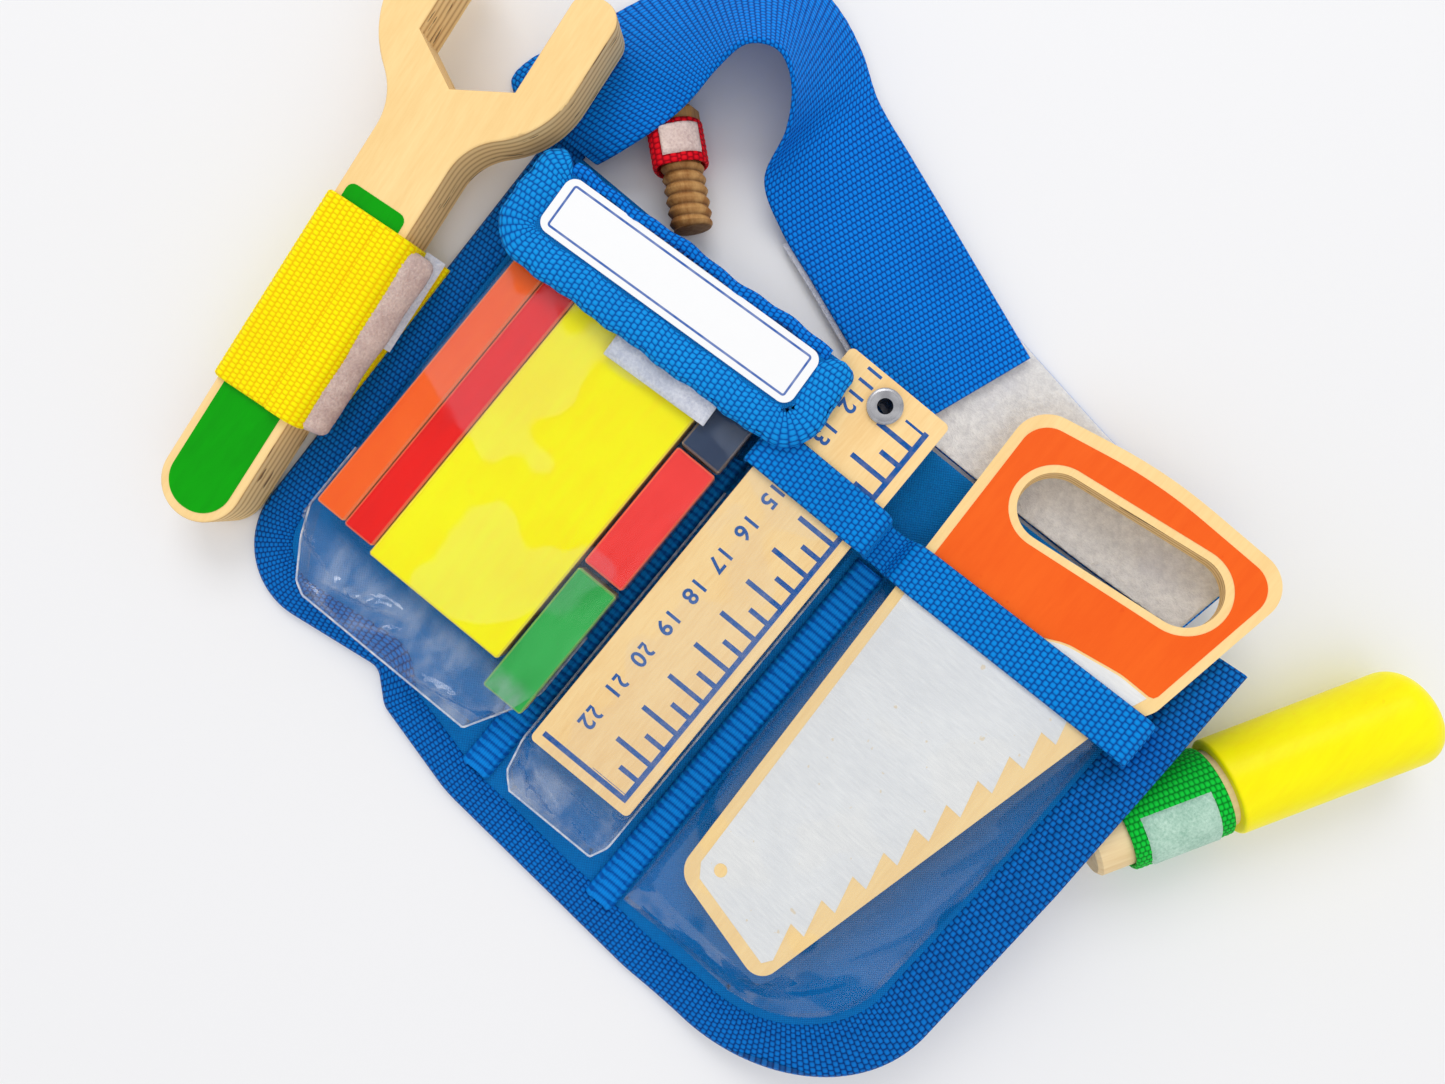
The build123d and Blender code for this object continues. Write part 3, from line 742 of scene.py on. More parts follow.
def on_strap(along, across, high):
    inner = along_line(inner_edge, strap_reached, along)
    outer = along_line(outer_edge, strap_reached, along)
    ahead = np.minimum(along + 4.0, STRAP_LENGTH)
    behind = np.maximum(along - 4.0, 0.0)
    run = sum(sign * along_line(edge, strap_reached, where)
              for sign, where in ((1, ahead), (-1, behind)) for edge in (inner_edge, outer_edge))
    side = outer - inner
    up = np.cross(side, run)
    up /= np.linalg.norm(up, axis=1)[:, None]
    up *= np.sign(up[:, 2:3] + 1e-9)
    share = (across / (STRAP_W + 1.0) + 0.5)[:, None]
    return tuple((inner + side * share + up * high[:, None]).T)


strap = strip("strap_webbing", STRAP_LENGTH, STRAP_W - 0.2, WEBBING_T, on_strap, 1.45, 1.3, 0.24)
dressed(strap, "belt", "blue_webbing", BLUE, "waist_strap")


# %% The tail, cut off behind the pouch's top edge
tail_place = turned((49.0, 66.0, 0.0), -8.6)


def on_tail(along, across, high):
    x, y, _ = to_world(tail_place, along - 52.0, across, 0.0)
    return x, y, lift(x, high)


def cut_at_pouch(piece):
    edit_whole(piece, (bpy.ops.mesh.bisect, {"plane_co": (0, (POUCH_TOP + 0.1) * MM, 0),
                                             "plane_no": (0, 1, 0), "clear_inner": True,
                                             "use_fill": True}))


tail = strip("tail_webbing", 104.0, STRAP_W - 1.0, WEBBING_T, on_tail, 1.45, 1.3, 0.1)
cut_at_pouch(tail)
dressed(tail, "belt", "blue_webbing", BLUE, "strap_tail")

# %% [markdown]
# ## Hook and loop tape
# The loop side is a felt of fine matted hairs, greyish white, and its edges are sewn down. The
# hook side is clear plastic with rows of tiny hooks, which looks like frosted film. Both are
# thin strips whose hairs and hooks are far too small to model, so noise gives their surface.

# %% The two finishes
def fuzz_finish(tree):
    place = coords(tree)
    matted = noise(tree, place, 420.0, 6.0, 0.7)
    hairs = noise(tree, stretched(tree, place, (1.0, 3.0, 1.0)), 1500.0, 4.0, 0.65)
    worn = noise(tree, place, 70.0, 3.0)
    share = (matted * 0.8 + hairs * 0.5 - 0.15).between(0.2, 0.8)
    colour = mix(tree, share, rgb(206, 204, 206), rgb(250, 248, 246))
    tinted = mix(tree, worn.between(0.5, 0.8) * 0.3, colour, rgb(205, 205, 222))
    return surface(tree, tinted, 0.95, matted + hairs * 0.6, 0.0006, 0.8)


def hook_finish(tint, shade):
    def build(tree):
        place = coords(tree)
        hooks = noise(tree, place, 1400.0, 3.0, 0.6)
        worn = noise(tree, place, 140.0, 4.0, 0.6)
        share = (hooks * 0.6 + worn * 0.6 - 0.1).between(0.25, 0.75)
        return surface(tree, mix(tree, share, shade, tint), 0.3 + 0.35 * hooks,
                       hooks + worn * 0.8, 0.0005, 0.75)
    return build


FUZZ = finish("loop_felt", fuzz_finish, Sheen_Weight=0.3, Sheen_Roughness=0.5)
HOOK_PINK = finish("hook_tape", hook_finish(rgb(238, 216, 206), rgb(196, 168, 162)))
HOOK_MINT = finish("hook_tape_mint", hook_finish(rgb(200, 232, 214), rgb(140, 186, 164)))
HOOK_CLEAR = finish("hook_tape_clear", hook_finish(rgb(232, 233, 240), rgb(186, 190, 206)))
print("hook and loop finishes are ready")


# %% The felt on the tail, and the hook tape under the strap
def soft_plate(name, length, width, thick, place, cell=1.0, rough=0.0, seed=3):
    """A thin pad with a rounded rim: place(along, across, height) in mm."""
    draw = np.random.default_rng(seed)
    columns, rows = max(6, round(length / cell)), max(6, round(width / cell))

    def put(u, v):
        along, across = u * length, (v - 0.5) * width
        edge = np.minimum(np.minimum(along, length - along), width / 2 - np.abs(across))
        high = thick * np.sqrt(np.clip(edge / max(thick, 0.4), 0, 1))
        high = high + rough * draw.standard_normal(len(u)) * np.clip(edge, 0, 1)
        return place(along, across, high), (along, across)

    plate = moved_grid(name, columns, rows, put)
    thickened(plate, 0.35, 1.0 if thick < 0 else -1.0)
    return plate


felt = soft_plate("tail_felt", 103.4, STRAP_W - 0.4, 1.1,
                  lambda a, c, h: on_tail(a + 0.3, c, h + 1.35), 0.7, 0.05)
cut_at_pouch(felt)
dressed(felt, "belt", "loop_tape", FUZZ, "tail_loop_tape")
hook = soft_plate("strap_hook", 56.0, STRAP_W, 0.5,
                  lambda a, c, h: on_strap(a + 1.0, c - 1.6, h - 0.75), 1.0, 0.02)
dressed(hook, "belt", "hook_tape", HOOK_CLEAR, "strap_hook_tape")

# %% [markdown]
# ## Wood
# The tools are cut from birch plywood: the faces show a pale, even grain, and the cut edges show
# the plies as light and dark stripes with a few voids, coloured dark as painted shade in the holes.
# One material serves every board. It reads the board's own plane, measures how deep a spot lies
# in the board, and shows plies where the surface stands upright.

# %% The plywood finish
def into_frame(tree, place, matrix):
    """Object coordinates in a board's own frame, in metres."""
    back = matrix.inverted()
    turn = back.to_euler("XYZ")
    shift = back.to_translation()
    return node_of(tree, "ShaderNodeMapping", {"vector_type": "POINT"},
                   {"Vector": place, "Location": shift, "Rotation": tuple(turn)})[0]


def in_millimetres(matrix):
    """The same frame with its origin given in metres."""
    return Matrix.Translation(matrix.to_translation() * MM) @ matrix.to_3x3().to_4x4()


def plywood(name, matrix, plies, thick, tint=(255, 222, 158), shade=(240, 194, 124), long_axis=1):
    grain_stretch = (60.0, 6.0, 60.0) if long_axis == 1 else (6.0, 60.0, 60.0)

    def build(tree):
        place = into_frame(tree, coords(tree), in_millimetres(matrix))
        _, _, depth = xyz(tree, place)
        normal = node_of(tree, "ShaderNodeVectorTransform",
                         {"vector_type": "NORMAL", "convert_from": "WORLD", "convert_to": "OBJECT"},
                         [surface_normal(tree)])[0]
        up = matrix.to_3x3() @ Vector((0, 0, 1))
        facing = node_of(tree, "ShaderNodeVectorMath", {"operation": "DOT_PRODUCT"},
                         {0: normal, 1: tuple(up)})[1].size()
        edge = 1.0 - facing.between(0.35, 0.75)
        grain = noise(tree, stretched(tree, place, grain_stretch), 22.0, 5.0, 0.6)
        fine, coarse = [tuple(share * by for share in grain_stretch) for by in (3, 1 / 6)]
        pores = noise(tree, stretched(tree, place, fine), 40.0, 2.0)
        cloud = noise(tree, stretched(tree, place, coarse), 18.0, 3.0)
        face_share = (grain * 0.6 + cloud * 0.6 - 0.1).between(0.2, 0.8)
        face = mix(tree, face_share * 0.55, rgb(*tint), rgb(*shade))
        wobble = noise(tree, place, 90.0, 2.0)
        level = depth * (plies / (thick * MM)) + wobble * 0.35
        stripe = (level * pi).sine().size().power(0.7)
        plies_colour = mix(tree, stripe, rgb(190, 142, 86), rgb(250, 216, 154))
        holes = noise(tree, stretched(tree, place, (1.0, 1.0, 6.0)), 95.0, 2.0)
        void = holes.between(0.66, 0.69)
        # the voids are dents in the bump, and their dark brown is painted shade in the holes
        cut = mix(tree, void * 0.8, plies_colour, rgb(96, 60, 34))
        colour = mix(tree, edge, face, cut)
        height = grain * 0.5 + pores * 0.5 - edge * void * 2.0
        return surface(tree, colour, 0.42 + 0.25 * edge + 0.1 * grain, height, 0.00012, 0.5)
    return finish(name, build, Specular_IOR_Level=0.15)


def refinish(node_name, material):
    """Give a CAD node's slots a better material."""
    shown = node[node_name]
    if not shown.material_slots:
        shown.data.materials.append(material)
    for place in shown.material_slots:
        place.material = material


WRENCH_END_Z = 0.6 + 137.0 * sin(radians(3.4))
wrench_place = turned((-119.6, 58.0, WRENCH_END_Z), 5.7, 3.4)
saw_place = turned((SAW_X, 0.0, SAW_Z), 0.0, 0.0) @ Matrix.Rotation(-atan(SAW_SLOPE), 4, "Y")
ruler_place = turned((9.5, -67.0, 3.2), 0.0, 1.0)
refinish("wrench_board", plywood("birch_ply", wrench_place, 6, 15.0))
refinish("saw_board", plywood("birch_ply_thin", saw_place, 3, SAW_T))


# %% [markdown]
# The ruler's two leaves are solid birch. Blue lines are printed on the upper one: a base line
# along its edge, a long tick at each centimetre and a short one between. The lines belong to
# the finish, as print does, and the numbers are small pieces of their own.

# %% The ruler's printed lines
RULER_TOP = 10.0


def band_mask(value, middle, half_width, soft=0.00008):
    """1 where value lies within half_width of middle, with a soft edge."""
    return 1.0 - (value - middle).size().between(half_width - soft, half_width + soft)


def ruler_finish(printed):
    def build(tree):
        spot = coords(tree)
        x, y, z = xyz(tree, spot)
        grain = noise(tree, stretched(tree, spot, (70.0, 7.0, 70.0)), 22.0, 5.0, 0.6)
        cloud = noise(tree, stretched(tree, spot, (8.0, 2.0, 8.0)), 12.0, 3.0)
        share = (grain * 0.6 + cloud * 0.6 - 0.1).between(0.25, 0.75)
        wood = mix(tree, share * 0.6, rgb(254, 220, 160), rgb(238, 190, 122))
        worn = noise(tree, spot, 700.0, 3.0)
        if not printed:
            return surface(tree, wood, 0.45 + 0.15 * grain, grain, 0.0001, 0.5)
        inside = y.above(-64.6 * MM) * y.below(52.0 * MM)
        base_line = band_mask(x, 21.6 * MM, 0.72 * MM) * inside
        step = y * 100.0 + 0.35
        from_tick = ((step.fraction() - 0.5).size() - 0.5).size() * 0.01
        ticks = from_tick.below(0.66 * MM) * x.above(10.6 * MM) * x.below(21.8 * MM)
        from_half = (step.fraction() - 0.5).size() * 0.01
        halves = from_half.below(0.66 * MM) * x.above(15.6 * MM) * x.below(21.8 * MM)
        end_line = band_mask(y, -64.0 * MM, 0.7 * MM) * x.above(-4.0 * MM) * x.below(22.2 * MM)
        over = y.above(-63.0 * MM) * y.below(51.5 * MM)
        ink = (base_line.most(end_line)).most(ticks.most(halves) * over)
        top = z.above(9.9 * MM)
        cover = ink * top * (worn * 0.3 + 0.82).least(1.0)
        return surface(tree, mix(tree, cover, wood, rgb(0, 84, 160)), 0.45 + 0.15 * grain,
                       grain - ink * 0.2, 0.0001, 0.5)
    return build


refinish("ruler_upper_leaf", finish("ruler_print", ruler_finish(True), Specular_IOR_Level=0.15))
refinish("ruler_lower_leaf", finish("ruler_birch", ruler_finish(False), Specular_IOR_Level=0.15))

# %% The ruler's numbers
INK = finish("blue_ink", lambda tree: {
    "Base Color": mix(tree, noise(tree, coords(tree), 900.0, 3.0).between(0.3, 0.8) * 0.35,
                      rgb(0, 80, 158), rgb(40, 110, 176)),
    "Roughness": 0.5 + 0.1 * noise(tree, coords(tree), 600.0)})


def placed_mesh(source, name, matrix):
    """Turn text or a flat curve into a named mesh, and move the mesh to its place."""
    activate(source)
    bpy.ops.object.convert(target="MESH")
    piece = bpy.context.object
    piece.name = piece.data.name = name
    piece.data.transform(in_millimetres(matrix))
    merged_and_outward(piece, 0.000005)
    return piece


def lettering(name, words, size, matrix, thick):
    """Text made a mesh, scaled to millimetres and moved to its place."""
    select_nothing()
    bpy.ops.object.text_add()
    text = bpy.context.object
    text.data.body = words
    text.data.size = size * MM
    text.data.extrude = thick * MM / 2
    text.data.offset = 0.00012
    text.data.space_character = 1.15
    text.data.resolution_u = 4
    text.data.align_x, text.data.align_y = "CENTER", "CENTER"
    return placed_mesh(text, name, matrix)


def ruler_level(y):
    """The height of the ruler's top at y."""
    return 3.2 + RULER_TOP + (y + 67.0) * sin(radians(1.0))


for number in range(11, 23):
    spot_y = min(16.5 - 10.0 * (number - 15), 53.6)
    place = turned((2.2, spot_y, ruler_level(spot_y) - 0.02), -90.0)
    word = lettering(f"ruler_number_{number}", str(number), 5.9, place, 0.12)
    dressed(word, "ruler", "birch", INK)

# %% [markdown]
# ## Paint
# The blocks are painted on their faces and left bare on the sides that were sawn last, and the
# paint is thin, so brush marks and a few pale flecks show. The saw and the wrench carry printed
# patches of paint whose outlines follow the wood a little way in from its edge. Those patches
# are thin plates cut from flat curves.

# %% The paint finish
def paint(name, tint, shade, gloss=0.32, bare=None):
    def build(tree):
        place = coords(tree)
        strokes = noise(tree, stretched(tree, place, (9.0, 1.2, 9.0)), 60.0, 4.0, 0.6)
        cloud = noise(tree, place, 45.0, 3.0)
        flecks = noise(tree, place, 260.0, 2.0, 0.6)
        share = (strokes * 0.5 + cloud * 0.6 - 0.05).between(0.3, 0.75)
        colour = mix(tree, share * 0.6, tint, shade)
        chip = flecks.between(0.72, 0.76)
        colour = mix(tree, chip * 0.6, colour, shade)
        if bare is not None:
            _, _, up = xyz(tree, surface_normal(tree))
            side = 1.0 - up.size().between(0.55, 0.8)
            colour = mix(tree, side * bare, colour, rgb(236, 196, 140))
        return surface(tree, colour, gloss + 0.14 * strokes, strokes + flecks * 0.4, 0.00015,
                       0.45)
    return finish(name, build, Specular_IOR_Level=0.12, Coat_Weight=0.03, Coat_Roughness=0.15)


PAINTS = {
    "block_orange": paint("paint_orange", rgb(255, 104, 30), rgb(246, 82, 14), bare=0.8),
    "block_red": paint("paint_red", rgb(244, 18, 10), rgb(214, 6, 6), bare=0.8),
    "block_yellow": paint("paint_yellow", rgb(255, 250, 0), rgb(255, 224, 0), bare=0.8),
    "block_navy": paint("paint_navy", rgb(52, 68, 96), rgb(34, 46, 70), bare=0.6),
    "block_small_red": paint("paint_pink_red", rgb(252, 66, 62), rgb(232, 44, 42), bare=0.6),
    "block_green": paint("paint_green", rgb(56, 178, 84), rgb(24, 138, 56), bare=0.6),
    "screwdriver_handle": paint("paint_handle", rgb(255, 246, 0), rgb(250, 226, 0), 0.3),
}
for name, material in PAINTS.items():
    refinish(name, material)
ORANGE = paint("saw_orange", rgb(248, 102, 24), rgb(238, 84, 14), 0.38)
GREEN = paint("wrench_green", rgb(0, 164, 0), rgb(0, 140, 0), 0.34)


def silver_finish(tree):
    place = coords(tree)
    brushed = noise(tree, stretched(tree, place, (1.0, 7.0, 1.0)), 230.0, 4.0, 0.65)
    cloud = noise(tree, place, 38.0, 3.0)
    flecks = noise(tree, place, 420.0, 2.0)
    share = (brushed * 0.6 + cloud * 0.5 - 0.05).between(0.25, 0.8)
    colour = mix(tree, share, rgb(240, 239, 236), rgb(220, 220, 220))
    colour = mix(tree, flecks.between(0.72, 0.75) * 0.7, colour, rgb(226, 204, 164))
    return surface(tree, colour, 0.4 + 0.15 * brushed, brushed + cloud * 0.5, 0.00015, 0.4)


SILVER = finish("silver_paint", silver_finish, Specular_IOR_Level=0.5)

# %% A plate cut from a flat curve
def flat_plate(name, outlines, matrix, thick=0.14):
    """Closed outlines in mm, filled with holes left open, given a thickness and placed."""
    select_nothing()
    data = bpy.data.curves.new(name, "CURVE")
    data.dimensions = "2D"
    data.fill_mode = "BOTH"
    data.extrude = thick * MM / 2
    for outline in outlines:
        line = data.splines.new("POLY")
        line.points.add(len(outline) - 1)
        for point, (x, y) in zip(line.points, outline):
            point.co = (x * MM, y * MM, 0.0, 1.0)
        line.use_cyclic_u = True
    made = bpy.data.objects.new(name, data)
    bpy.context.scene.collection.objects.link(made)
    return placed_mesh(made, name, matrix)


def closed_round(corners, step=0.6):
    """A closed outline whose corners (x, y, radius) are rounded."""
    first, last = np.array(corners[0][:2], float), np.array(corners[-1][:2], float)
    middle = tuple((first + last) / 2)
    return rounded_line(middle, corners, middle, step)[:-1]


def slot_outline(centre, length, width, turn):
    corners = [(-length / 2, -width / 2), (length / 2, -width / 2),
               (length / 2, width / 2), (-length / 2, width / 2)]
    c, s = cos(radians(turn)), sin(radians(turn))
    return closed_round([(centre[0] + x * c - y * s, centre[1] + x * s + y * c, width / 2 - 0.01)
                         for x, y in corners])


# %% The paint on the saw and the wrench
saw_face = saw_place @ Matrix.Translation((0, 0, SAW_T + 0.05))
handle_edge = [(4.4, 26.5, 0.5), (28.0, 27.0, 14.0), (42.0, 33.6, 14.0), (56.0, 35.6, 16.0),
               (65.0, 35.3, 1.5), (71.2, 74.0, 7.0), (35.0, 77.6, 118.0), (3.0, 73.6, 7.0)]
handle_slot = slot_outline((37.3, 59.2), 57.0, 21.8, 4.0)
handle_paint = flat_plate("saw_handle_paint", [closed_round(handle_edge), handle_slot], saw_face)
dressed(handle_paint, "saw", "birch", ORANGE)

TEETH = 10
arc = rounded_line((4.6, 25.9), [(28.0, 26.4, 14.0), (42.0, 33.0, 14.0), (56.0, 35.0, 16.0)],
                   (63.6, 34.7))
blade = [tuple(spot) for spot in arc] + [(62.4, 31.6), (57.4, 24.0)]
tooth_top, tooth_low = np.array([57.0, 22.0]), np.array([36.6, -70.0])
down = (tooth_low - tooth_top) / TEETH
inward = np.array([down[1], -down[0]]) / hypot(*down)
inward = inward if inward[0] < 0 else -inward
for index in range(TEETH):
    tip = tooth_top + down * index
    blade.append(tuple(tip + inward * 4.6 + down * 0.06))
    blade.append(tuple(tip + down * 0.98 + inward * 0.4))
blade += [(34.6, -72.2), (10.5, -67.6), (8.2, -64.4)]
dot = [(13.2 + 1.7 * cos(angle), -62.6 + 1.7 * sin(angle))
       for angle in np.linspace(0, 2 * pi, 25)[:-1]]
blade_paint = flat_plate("saw_blade_paint", [blade, dot], saw_face)
dressed(blade_paint, "saw", "birch", SILVER)

wrench_face = wrench_place @ Matrix.Translation((0, 0, 15.05))
green_panel = flat_plate("wrench_green_panel",
                         [closed_round([(-8.1, -46.5, 2.0), (-8.1, -134.6, 7.9), (8.1, -134.6, 7.9),
                                        (8.1, -46.5, 2.0)])], wrench_face)
dressed(green_panel, "wrench", "birch", GREEN)

# %% [markdown]
# ## The label
# The label is a white plastic card under clear film, with a thin blue line printed a little
# inside its edge. The line is part of the finish: it is worked out from how far a spot lies
# from a smaller rounded rectangle.

# %% The label's finish
LABEL_W, LABEL_H, LABEL_UP = 74.5, 15.0, 3.6
LINE_IN_X, LINE_IN_Y, LINE_ROUND = 3.0, 2.4, 0.6


def label_finish(tree):
    place = into_frame(tree, coords(tree), in_millimetres(flap_place))
    x, y, _ = xyz(tree, place)
    off_x = (x.size() - (LABEL_W / 2 - LINE_IN_X) * MM).most(0.0)
    off_y = ((y - LABEL_UP * MM).size() - (LABEL_H / 2 - LINE_IN_Y) * MM).most(0.0)
    away = (off_x * off_x + off_y * off_y).power(0.5)
    line = 1.0 - (away - LINE_ROUND * MM).size().between(0.22 * MM, 0.36 * MM)
    speck = noise(tree, place, 300.0, 3.0)
    worn = (speck * 0.6 + 0.62).least(1.0)
    white = mix(tree, speck * 0.2, rgb(248, 248, 249), rgb(236, 237, 240))
    return surface(tree, mix(tree, line * worn, white, rgb(10, 84, 172)), 0.3 + 0.1 * speck,
                   speck, 0.0001, 0.3)


refinish("label_card", finish("label_card", label_finish, Coat_Weight=0.3, Coat_Roughness=0.12))


# %% Steel for the eyelet
def steel_finish(tree):
    place = coords(tree)
    fine = noise(tree, place, 1200.0, 3.0)
    worn = noise(tree, place, 300.0, 3.0)
    return surface(tree,
                   mix(tree, worn.between(0.3, 0.7), rgb(196, 196, 200), rgb(160, 160, 166)),
                   0.2 + 0.15 * fine, fine, 0.00005, 0.4)


STEEL = finish("eyelet_steel", steel_finish, Metallic=1.0)
refinish("ruler_eyelet", STEEL)

# %% [markdown]
# The eyelet is a rolled ring, so its lip is round and steps down into the tube. A lathe shape
# gives that: a profile of points is spun round the hole's centre.

# %% The eyelet's rolled lip
def turned_shape(name, profile, matrix, steps=48):
    """Spin a profile of (radius, height) in mm round the matrix's own z axis."""
    radius = np.array([point[0] for point in profile], float)
    height = np.array([point[1] for point in profile], float)
    last = len(profile) - 1

    def put(u, v):
        ring = np.rint(v * last).astype(int)
        angle = u * 2 * pi
        x, y = radius[ring] * np.cos(angle), radius[ring] * np.sin(angle)
        return to_world(matrix, x, y, height[ring]), (angle * 5.0, height[ring])

    piece = moved_grid(name, steps, last, put)
    close_up(piece, 0.000003)
    smooth_shade(piece, 35)
    return piece


eyelet_place = ruler_place @ Matrix.Translation((0, 117.7, RULER_TOP))
lip = [(2.0, -0.5), (2.05, 0.35), (2.3, 0.62), (2.7, 0.66), (2.95, 0.45), (3.1, 0.4), (3.35, 0.75),
       (3.8, 1.05), (4.25, 0.95), (4.5, 0.6), (4.52, 0.1), (4.3, -0.2), (2.4, -0.5), (2.0, -0.5)]
eyelet_lip = turned_shape("eyelet_lip", lip, eyelet_place)
dressed(eyelet_lip, "ruler", "steel", STEEL)

# %% [markdown]
# ## The tool loops
# Each loop is webbing in its own colour. The wrench's is a wide ring with a flap end that goes
# under the pouch's edge, and its hook strip bulges over the right shoulder. The screwdriver's and
# the bolt's are small rings round their shafts, closed with a hook patch.

# %% The yellow, green and red webbing
YELLOW = webbing("yellow_webbing", rgb(255, 246, 0), rgb(246, 196, 0), 1.5, 1.25)
GREEN_WEB = webbing("green_webbing", rgb(10, 206, 60), rgb(0, 120, 34), 1.5, 1.3)
RED_WEB = webbing("red_webbing", rgb(236, 16, 34), rgb(140, 0, 18), 1.6, 1.4)
LOOP_W, LOOP_AT = 52.0, -77.0
WRENCH_W, WRENCH_T = 20.5, 15.0


def ring_line(half_width, low, high, radius):
    """A closed rounded rectangle that starts and ends at the middle of its underside."""
    start = (0.0, low)
    corners = [(half_width, low, radius), (half_width, high, radius),
               (-half_width, high, radius), (-half_width, low, radius)]
    return rounded_line(start, corners, start, 0.25)


def wrapped(line, matrix, middle):
    """A place function for a strip that follows a line in its frame's x and z."""
    reached = measured(line)
    total = reached[-1]

    def place(along, across, high):
        here = along_line(line, reached, along)
        run = (along_line(line, reached, (along + 0.6) % total)
               - along_line(line, reached, (along - 0.6) % total))
        run /= np.linalg.norm(run, axis=1)[:, None]
        x, z = here[:, 0] + run[:, 1] * high, here[:, 1] - run[:, 0] * high
        return to_world(matrix, x, middle + across, z)
    return place, total


inner_half = WRENCH_W / 2 + 0.35
place, total = wrapped(ring_line(inner_half, -0.35, WRENCH_T + 0.35, 2.2), wrench_place, LOOP_AT)
loop = strip("wrench_loop_webbing", total, LOOP_W - 0.6, 1.3, place, 1.5, 1.25, 0.26)

# The second layer lies over the first on the right, and ends in the tab.
second = rounded_line((4.6, WRENCH_T + 1.75), [(inner_half + 1.7, WRENCH_T + 1.75, 3.2),
                      (inner_half + 1.7, -0.6, 1.4)], (inner_half + 9.6, -0.6), 0.25)
second_reached = measured(second)


def on_second(along, across, high):
    here, run = heading(second, second_reached, along, 0.6)
    x, z = here[:, 0] - run[:, 1] * high, here[:, 1] + run[:, 0] * high
    x, y, z = to_world(wrench_place, x, LOOP_AT - across, z)
    sewn = -99.9 + (POUCH_TOP - y) * 0.028 + 1.2
    down = np.clip((along - second_reached[-1] + 8.0) / 8.0, 0, 1) ** 1.5
    return np.minimum(x, sewn), y, z * (1 - down) + (0.25 + high) * down


overlap = strip("wrench_loop_overlap", second_reached[-1], LOOP_W - 0.6, 1.0, on_second,
                1.5, 1.25, 0.26)
dressed(loop, "belt", "yellow_webbing", YELLOW, "wrench_loop")
dressed(overlap, "belt", "yellow_webbing", YELLOW)


# %% The hook strip on the wrench's loop
def pillow(name, length, width, thick, place, roughness=0.12, seed=5, cell=0.5):
    """A closed pad with a bulging top: place(along, across, height) in mm."""
    draw = np.random.default_rng(seed)
    rows, columns = round(length / cell), 36
    turns = np.linspace(0, 2 * pi, columns + 1)
    ring_across = -np.cos(turns) * width / 2
    ring_high = np.where(np.sin(turns) > 0, np.abs(np.sin(turns)) ** 0.75 * thick, 0.0)
    jitter = draw.standard_normal((rows + 1, columns + 1)) * roughness
    jitter[:, -1] = jitter[:, 0]

    def put(u, v):
        ring, row = np.rint(v * columns).astype(int), np.rint(u * rows).astype(int)
        along = u * length
        end = np.sqrt(1 - np.clip(1 - np.minimum(along, length - along) / 2.2, 0, 1) ** 2)
        end = np.maximum(end, 0.15)
        bumpy = jitter[row, ring] * (ring_high[ring] > 0) * end
        return place(along, ring_across[ring] * (0.55 + 0.45 * end),
                     ring_high[ring] * end + bumpy), (along, ring_across[ring])

    piece = moved_grid(name, rows, columns, put)
    close_up(piece, 0.000002)
    smooth_shade(piece, 70)
    return piece


def on_hook_strip(along, across, high):
    wave = 0.5 * np.sin(along * 0.12 + 0.5) + 0.3 * np.sin(along * 0.35)
    tilt = radians(38)
    x = inner_half + 3.1 + wave * 0.6 + across * sin(tilt) * 0.75 + high * cos(tilt)
    z = WRENCH_T - 4.4 - across * cos(tilt) + high * sin(tilt)
    return to_world(wrench_place, x, LOOP_AT + LOOP_W / 2 - 1.0 - along, z)


hook_strip = pillow("wrench_hook_pad", LOOP_W - 1.0, 11.5, 2.0, on_hook_strip, 0.07)
dressed(hook_strip, "belt", "hook_tape", HOOK_PINK, "wrench_hook_strip")

# %% The clear border of the hook strip
def on_border(along, across, high):
    x = inner_half + 4.9 + across * 0.9
    z = 5.4 - across * 0.55 + high
    return to_world(wrench_place, x, LOOP_AT + LOOP_W / 2 + 0.6 - along, z)


border = soft_plate("wrench_hook_border", 26.0, 5.0, 0.4, on_border, 0.7, 0.03)
dressed(border, "belt", "hook_tape", HOOK_CLEAR)


# %% The screwdriver's loop
def axis_frame(start, axis, height):
    """A frame whose z runs along a rod and whose x points up from the table."""
    run = Vector((*axis, 0)).normalized()
    up = Vector((0, 0, 1))
    side = run.cross(up)
    frame_matrix = Matrix((up, side, run)).transposed().to_4x4()
    frame_matrix.translation = (*start, height)
    return frame_matrix


driver_place = axis_frame((132.5, 31.0), (0.495, 0.869), 12.0)
DRIVER_LOOP_R = 9.75


def around_rod(matrix, radius, angle, far):
    return to_world(matrix, radius * np.cos(angle), radius * np.sin(angle), far)


def ring_strip(name, matrix, radius_of, mean, width, thick, middle, pitch, wide, relief):
    """Webbing wrapped round a rod: radius_of(angle) is how far out its inside lies."""
    total = 2 * pi * mean

    def place(along, across, high):
        angle = along / total * 2 * pi
        return around_rod(matrix, radius_of(angle) + high, angle, middle - across)
    return strip(name, total, width, thick, place, pitch, wide, relief)


driver_loop = ring_strip("screwdriver_loop_webbing", driver_place, lambda angle: DRIVER_LOOP_R,
                         DRIVER_LOOP_R + 1, 24.4, 1.2, -14.5, 1.5, 1.3, 0.25)


# The tab runs from under the shaft to the pouch's edge.
def on_green_tab(along, across, high):
    matrix = turned((113.0, 15.0, 0.0), -30.0)
    x, y, _ = to_world(matrix, along - 2.0, across, 0.0)
    return x, y, 0.15 + high * 0.8


dressed(driver_loop, "belt", "green_webbing", GREEN_WEB, "screwdriver_loop")
green_tab = strip("screwdriver_loop_tab", 12.0, 21.0, 1.0, on_green_tab, 1.5, 1.3, 0.15)
dressed(green_tab, "belt", "green_webbing", GREEN_WEB)


def on_driver_patch(along, across, high):
    radius = DRIVER_LOOP_R + 1.25 + high
    angle = across / (DRIVER_LOOP_R + 1.4) + 0.35
    return around_rod(driver_place, radius, angle, -23.5 + along)


